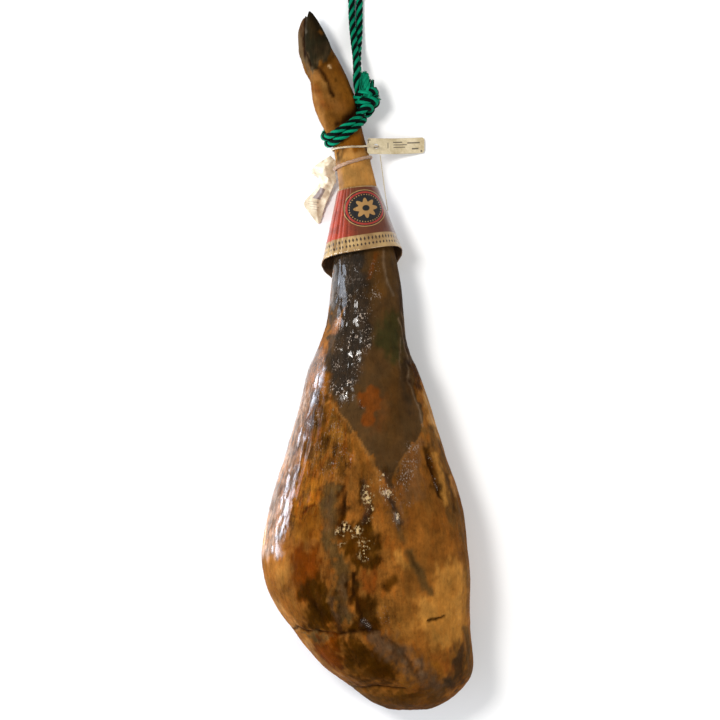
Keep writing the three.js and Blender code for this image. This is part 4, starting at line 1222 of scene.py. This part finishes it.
def relaxed(points, edges, rounds):
    """Points smoothed along their mesh's edges without shrinking the shape."""
    count = len(points)
    degree = np.bincount(edges.ravel(), minlength=count).astype(float)[:, None]
    for push in SMOOTHING_PUSHES * rounds:
        total = np.stack([
            np.bincount(edges[:, 0], points[edges[:, 1], k], count)
            + np.bincount(edges[:, 1], points[edges[:, 0], k], count) for k in range(3)], axis=1)
        points = points + push * (total / degree - points)
    return points


def leg_coordinates(points):
    """Each point's place across and up the leg's own cut, from -1 to 1, and along it in tenths of a metre."""
    y = points[:, 1]
    stops = np.arange(y.min(), y.max() + SLICE, SLICE)
    slices = np.digitize(y, stops) - 1
    result = []
    for axis in (0, 2):
        low = np.full(len(stops), np.inf)
        high = np.full(len(stops), -np.inf)
        np.minimum.at(low, slices, points[:, axis])
        np.maximum.at(high, slices, points[:, axis])
        known = np.isfinite(low)
        middle = np.interp(y, stops[known] + SLICE / 2, (low[known] + high[known]) / 2)
        half = np.interp(y, stops[known] + SLICE / 2, (high[known] - low[known]) / 2)
        result.append((points[:, axis] - middle) / half)
    return np.stack([result[0], result[1], y / 0.1], axis=1)


def ham_shape():
    """The solid of the ham as one even, smoothed mesh, and its points."""
    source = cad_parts["ham"]
    base = bpy.data.objects.new("base", source.data.copy())
    bpy.context.scene.collection.objects.link(base)
    base.modifiers.new("weld", "WELD").merge_threshold = 0.01 * MM
    remesh = base.modifiers.new("remesh", "REMESH")
    remesh.mode = "VOXEL"
    remesh.voxel_size = HAM_VOXEL
    mesh = plain_mesh(base)
    mesh.name = "ham_surface"
    edges = np.zeros(len(mesh.edges) * 2, np.int32)
    mesh.edges.foreach_get("vertices", edges)
    points = relaxed(mesh_values(mesh, "points"), edges.reshape(-1, 2), SMOOTHING_ROUNDS)
    mesh.vertices.foreach_set("co", points.astype(np.float32).ravel())
    mesh.update()
    return mesh, points


def uneven_places(points, normals):
    """Where points lie in the picture, moved a little so that borders waver: calmly, and frayed."""
    under = smooth_step(0.1, -0.5, normals[:, 2])
    calm = picture_place(points)
    calm[:, 1] += under * HIDDEN_SHIFT
    calm[:, 0] += under * HIDDEN_SWAY * Cloud(5).at(points, 60 * MM)
    for axis, seed in ((0, 11), (1, 12)):
        calm[:, axis] += WAVER * Cloud(seed).layers(points, 14 * MM, 3)
    frayed = calm.copy()
    frayed[:, 0] += FRAYING[0] * Cloud(13).layers(points, 7 * MM, 2)
    frayed[:, 1] += FRAYING[1] * Cloud(14).layers(points, (5 * MM, 14 * MM, 5 * MM), 2)
    return calm, frayed


def ham_values(points, normals):
    """Each point's values for the ham's material, and its relief in millimetres."""
    grain = leg_coordinates(points)
    calm, frayed = uneven_places(points, normals)
    horn = cover(frayed, HORN)
    streaky = np.full(len(points), USUAL_STREAKS)
    for mark in STREAK_MARKS:
        streaky += cover(frayed, mark) * (mark.streaks - streaky)
    ragged = Cloud(16).layers(points, (4 * MM, 9 * MM, 4 * MM), 2) * np.clip(0.1 + streaky, 0, 0.6)
    patches = [Cloud(seed).layers(points, (6 * MM, 13 * MM, 6 * MM), 3) for seed in (32, 33, 34)]

    paint = np.tile(np.array(PALETTE["fat"]), (len(points), 1))
    relief = np.zeros(len(points))
    for number, mark in enumerate([*MARKS, *HORN_MARKS]):
        if mark.relief:
            strength = cover(calm, mark)
        else:
            strength = cover(calm if mark.width else frayed, mark, ragged)
            strength *= 1 - mark.patchy * smooth_step(0, 0.8, patches[number % len(patches)])
        if mark in HORN_MARKS:
            strength = strength * horn
        if mark.colour:
            paint += strength[:, None] * (np.array(PALETTE[mark.colour]) - paint)
        relief += strength * mark.relief
    blotches = Cloud(31).layers(points, (15 * MM, 26 * MM, 15 * MM), 4)
    paint[:, :3] *= 1 + 0.3 * (blotches * (0.5 + streaky))[:, None]
    wet, glint, chunky = (
        strongest_cover(frayed, marks) for marks in (WET_MARKS, GLINT_MARKS, CHUNKY_MARKS))

    lumps = Cloud(21).layers(points, 42 * MM, 2) * 0.8
    ridges = Cloud(22).layers(grain, (0.11, 0.11, 0.6), 3) * (0.2 + 0.8 * streaky) * (1 - 0.5 * wet)
    crumbs = Cloud(23).layers(points, (4.5 * MM, 8 * MM, 4.5 * MM), 2)
    crumbs *= 0.35 * wet * streaky + 0.35 * glint + 0.18
    relief += (1 - horn) * (lumps + ridges + crumbs + 0.6)
    values = {"paint": paint, "grain": grain, "wet": wet, "horn": horn, "streaky": streaky, "glint": glint,
              "chunky": chunky}
    return values, relief


def make_ham():
    """The ham's skin, fat and horn as one fine surface over the solid."""
    mesh, points = ham_shape()
    normals = mesh_values(mesh, "normals")
    values, relief = ham_values(points, normals)
    final = points + normals * relief[:, None] * MM
    final[:, 2] = np.maximum(final[:, 2], 0)
    mesh.vertices.foreach_set("co", final.astype(np.float32).ravel())
    mesh.materials.clear()
    mesh.materials.append(ham_material())
    mesh.polygons.foreach_set("material_index", [0] * len(mesh.polygons))
    mesh.polygons.foreach_set("use_smooth", [True] * len(mesh.polygons))
    for name, value in values.items():
        store(mesh, name, value)
    mesh.update()
    ham = new_piece("ham_surface", mesh)
    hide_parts("ham")


def sheet_faces(rows, columns, closed):
    """Faces of a thin closed sheet: outer side, inner side and edges, with a part number for each."""
    half = rows * columns
    across = columns if closed else columns - 1
    faces, parts = [], []

    def add(part, *corners):
        faces.append(corners)
        parts.append(part)

    for r in range(rows - 1):
        for i in range(across):
            a = r * columns + i
            b = r * columns + (i + 1) % columns
            add(0, a, b, b + columns, a + columns)
            add(1, half + a, half + a + columns, half + b + columns, half + b)
    last = (rows - 1) * columns
    for i in range(across):
        n = (i + 1) % columns
        add(1, i, half + i, half + n, n)
        add(1, last + i, last + n, half + last + n, half + last + i)
    if not closed:
        for r in range(rows - 1):
            a = r * columns
            b = a + columns - 1
            add(1, a, a + columns, half + a + columns, half + a)
            add(1, b, half + b, half + b + columns, b + columns)
    return faces, parts


def sheet_mesh(name, grid, thickness, closed, materials, maps):
    """A thin sheet over a grid of points, given as rows, with values for its material."""
    rows, columns = grid.shape[:2]
    flat = grid.reshape(-1, 3)
    step_across = np.roll(grid, -1, axis=1) - np.roll(grid, 1, axis=1)
    if not closed:
        step_across = np.gradient(grid, axis=1)
    step_down = np.gradient(grid, axis=0)
    way = np.cross(step_across, step_down).reshape(-1, 3)
    way /= np.linalg.norm(way, axis=1)[:, None]
    faces, parts = sheet_faces(rows, columns, closed)
    points = np.concatenate([flat + way * thickness / 2, flat - way * thickness / 2])
    mesh = mesh_from(name, points, faces, materials, parts)
    for key, values in maps.items():
        store(mesh, key, np.tile(values.ravel(), 2))
    mesh.update()
    return mesh


def make_cone():
    """The paper cone round the shank, printed outside and plain inside."""
    t = np.linspace(0, 1, CONE_ROWS)[:, None]
    turn = np.linspace(0, 2 * np.pi, CONE_COLUMNS, endpoint=False)[None, :]
    value = {key: CONE_TOP[key] + (CONE_FOOT[key] - CONE_TOP[key]) * t for key in CONE_TOP}
    across, up = np.cos(turn), np.sin(turn)
    dents = 0.35 * np.cos(9 * turn + 0.7) * np.sin(np.pi * t) + 0.2 * np.cos(17 * turn + 3 * t) * t
    for fold, depth in CONE_FOLDS:
        dents = dents - depth * np.exp(-((np.degrees(turn) - fold) / FOLD_WIDTH) ** 2) * (0.75 + 0.25 * t)
    radius = value["radius"] + dents
    grid = np.stack(np.broadcast_arrays(
        value["x"] + across * radius,
        value["y"] + across * value["slope"] + up * (value["lean"] - value["sag"] * up),
        value["z"] + up * radius), axis=-1)
    slant = CONE_TOP["y"] - CONE_FOOT["y"]
    away = (turn - math.radians(MEDALLION["turn"]) + np.pi) % (2 * np.pi) - np.pi
    maps = {
        "across": -away * value["radius"],
        "down": (t - MEDALLION["down"]) * slant + 0 * turn,
        "fall": t * slant - (slant - CREAM_BAND_HEIGHT) + 0 * turn,
        "top": t * slant + 0 * turn,
    }
    inside = paper_material("cone's plain inside", linear(92, 62, 34), linear(140, 100, 58))
    grid = (grid + np.array(CENTRING)) * MM
    mesh = sheet_mesh("cone_paper", grid, CONE_THICKNESS * MM, True, [cone_print_material(), inside], maps)
    cone = new_piece("cone_paper", mesh)
    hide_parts("paper_cone")


def punch_hole(carrier, x, y, radius):
    """Cuts a round hole through a flat card with a modifier, and returns the punch."""
    ring = [(x + radius * math.cos(turn), y + radius * math.sin(turn)) for turn in even_turns(HOLE_SIDES)]
    points = [(*place, z) for z in (-PUNCH_REACH, PUNCH_REACH) for place in ring]
    sides = [(i, (i + 1) % HOLE_SIDES, HOLE_SIDES + (i + 1) % HOLE_SIDES, HOLE_SIDES + i)
             for i in range(HOLE_SIDES)]
    ends = [tuple(reversed(range(HOLE_SIDES))), tuple(range(HOLE_SIDES, 2 * HOLE_SIDES))]
    punch = bpy.data.objects.new("punch", mesh_from("punch", points, [*sides, *ends], []))
    bpy.context.scene.collection.objects.link(punch)
    cut = carrier.modifiers.new("hole", "BOOLEAN")
    cut.operation = "DIFFERENCE"
    cut.solver = "EXACT"
    cut.object = punch
    return punch


def make_card():
    """The card on the upper string: a stiff strip with a punched hole, bent towards the floor."""
    length = CARD["right"] - CARD["left"]
    s = np.linspace(0, 1, CARD_COLUMNS)
    corner = CARD["corner"] / length
    inset = np.where(s < corner, 1 - s / corner, np.where(s > 1 - corner, (s - 1 + corner) / corner, 0))
    half = CARD["half"] - CARD["corner"] * (1 - np.sqrt(np.clip(1 - inset ** 2, 0, 1)))
    w = np.linspace(-1, 1, CARD_ROWS)
    grid = np.zeros((CARD_ROWS, CARD_COLUMNS, 3))
    grid[..., 0] = s[None, :] * length
    grid[..., 1] = w[:, None] * half[None, :]
    maps = {"across": grid[..., 0], "down": grid[..., 1]}
    paper = paper_material("card", linear(166, 148, 110), linear(214, 199, 166), card_print)
    flat = sheet_mesh("card", grid, CARD_THICKNESS, False, [paper, paper], maps)
    carrier = bpy.data.objects.new("card", flat)
    bpy.context.scene.collection.objects.link(carrier)
    punch = punch_hole(carrier, CARD_HOLE["x"] - CARD["left"], CARD_HOLE["y"] - CARD["tied"],
                       CARD_HOLE["radius"])
    mesh = plain_mesh(carrier)
    bpy.data.objects.remove(punch)
    x, y, z = mesh_values(mesh, "points").T
    t = x / length
    curl = 0.3 * np.cos(y / 5) + 0.18 * np.sin(x / 6)
    height = CARD_LOW + CARD_RISE * np.clip(1 - t, 0, 1) ** CARD_BEND
    bent = np.stack([
        CARD["left"] + x,
        CARD["tied"] + (CARD["free"] - CARD["tied"]) * t + y,
        height + z - CARD_SINK + curl], axis=1)
    mesh.vertices.foreach_set("co", ((bent + np.array(CENTRING)) * MM).astype(np.float32).ravel())
    mesh.update()
    card = new_piece("card", mesh)
    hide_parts("card_tag")


def make_strip():
    """The crumpled paper strip behind the ankle."""
    lines = []
    for column in range(len(STRIP_ROWS[0])):
        line = smooth_line([row[column] for row in STRIP_ROWS], step=0.2 * MM)
        picks = np.linspace(0, len(line) - 1, STRIP_STEPS).round().astype(int)
        lines.append(np.array([line[i] for i in picks]))
    s = np.linspace(0, 2, STRIP_COLUMNS)
    grid = np.zeros((STRIP_STEPS, STRIP_COLUMNS, 3))
    for k, place in enumerate(s):
        left = min(int(place), 1)
        share = place - left
        share = share * share * (3 - 2 * share)
        grid[:, k] = lines[left] * (1 - share) + lines[left + 1] * share
    crumple = Cloud(41).layers(grid.reshape(-1, 3), 8 * MM, 4).reshape(STRIP_STEPS, STRIP_COLUMNS)
    fade = np.clip(grid[..., 2] / FLAT_BELOW, 0, 1)
    grid[..., 2] += crumple * CRUMPLE_DEPTH * fade
    across, down = np.meshgrid((s - 1) * STRIP_HALF_WIDTH, np.linspace(0, STRIP_LENGTH, STRIP_STEPS))
    maps = {"across": across, "down": down}
    paper = paper_material("crumpled strip", linear(176, 158, 128), linear(234, 220, 192), strip_print)
    mesh = sheet_mesh("crumpled_strip", grid, STRIP_THICKNESS * MM, False, [paper, paper], maps)
    strip = new_piece("crumpled_strip", mesh)
    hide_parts("paper_strip")


LIGHTS = [
    {"name": "soft key", "at": (-0.7, 0.5, 1.7), "to": (0, 0, 0.05), "size": (0.4, 0.4), "watts": 24,
     "colour": (1, 0.975, 0.94)},
    {"name": "window", "at": (-0.85, -0.1, 0.15), "to": (0, -0.1, 0.06), "size": (0.9, 0.3), "watts": 14,
     "colour": (0.76, 0.85, 1)},
    {"name": "fill", "at": (1.1, -0.4, 1.2), "to": (0, -0.1, 0.05), "size": (1, 1), "watts": 11,
     "colour": (1, 0.97, 0.92)},
]
SURROUND_COLOUR = (0.93, 0.96, 1, 1)
SURROUND_STRENGTH = 0.52
FLOOR_REACH = 4
FLOOR_TONES = (0.86, 0.86, 0.86, 1), (0.9, 0.9, 0.9, 1)


def light_scene():
    """Soft lights, an even pale surround and the floor that the ham lies on."""
    for light in LIGHTS:
        lamp = bpy.data.lights.new(light["name"], "AREA")
        lamp.shape = "RECTANGLE"
        lamp.size, lamp.size_y = light["size"]
        lamp.energy = light["watts"]
        lamp.color = light["colour"]
        carrier = bpy.data.objects.new(light["name"], lamp)
        carrier.location = light["at"]
        aim = Vector(light["to"]) - Vector(light["at"])
        carrier.rotation_euler = aim.to_track_quat("-Z", "Y").to_euler()
        bpy.context.scene.collection.objects.link(carrier)
    world = bpy.data.worlds.new("pale surround")
    world.use_nodes = True
    surround = world.node_tree.nodes["Background"].inputs
    surround["Color"].default_value = SURROUND_COLOUR
    surround["Strength"].default_value = SURROUND_STRENGTH
    bpy.context.scene.world = world
    bpy.context.scene.view_settings.view_transform = "Standard"
    corners = [(FLOOR_REACH * x, FLOOR_REACH * y, 0) for x, y in ((-1, -1), (1, -1), (1, 1), (-1, 1))]
    pale = Material("pale floor", Roughness=0.9)
    tint = pale.mix(pale.noise(pale.place(), 3), *FLOOR_TONES)
    mesh = mesh_from("floor", corners, [(0, 1, 2, 3)], [pale.finish(Base_Color=tint)])
    floor = bpy.data.objects.new("floor", mesh)
    bpy.context.scene.collection.objects.link(floor)


place_camera()
rope_tree = laid_rope_tree()
make_rope(rope_tree)
make_ham()
make_cone()
make_strings(rope_tree)
make_card()
make_strip()
light_scene()
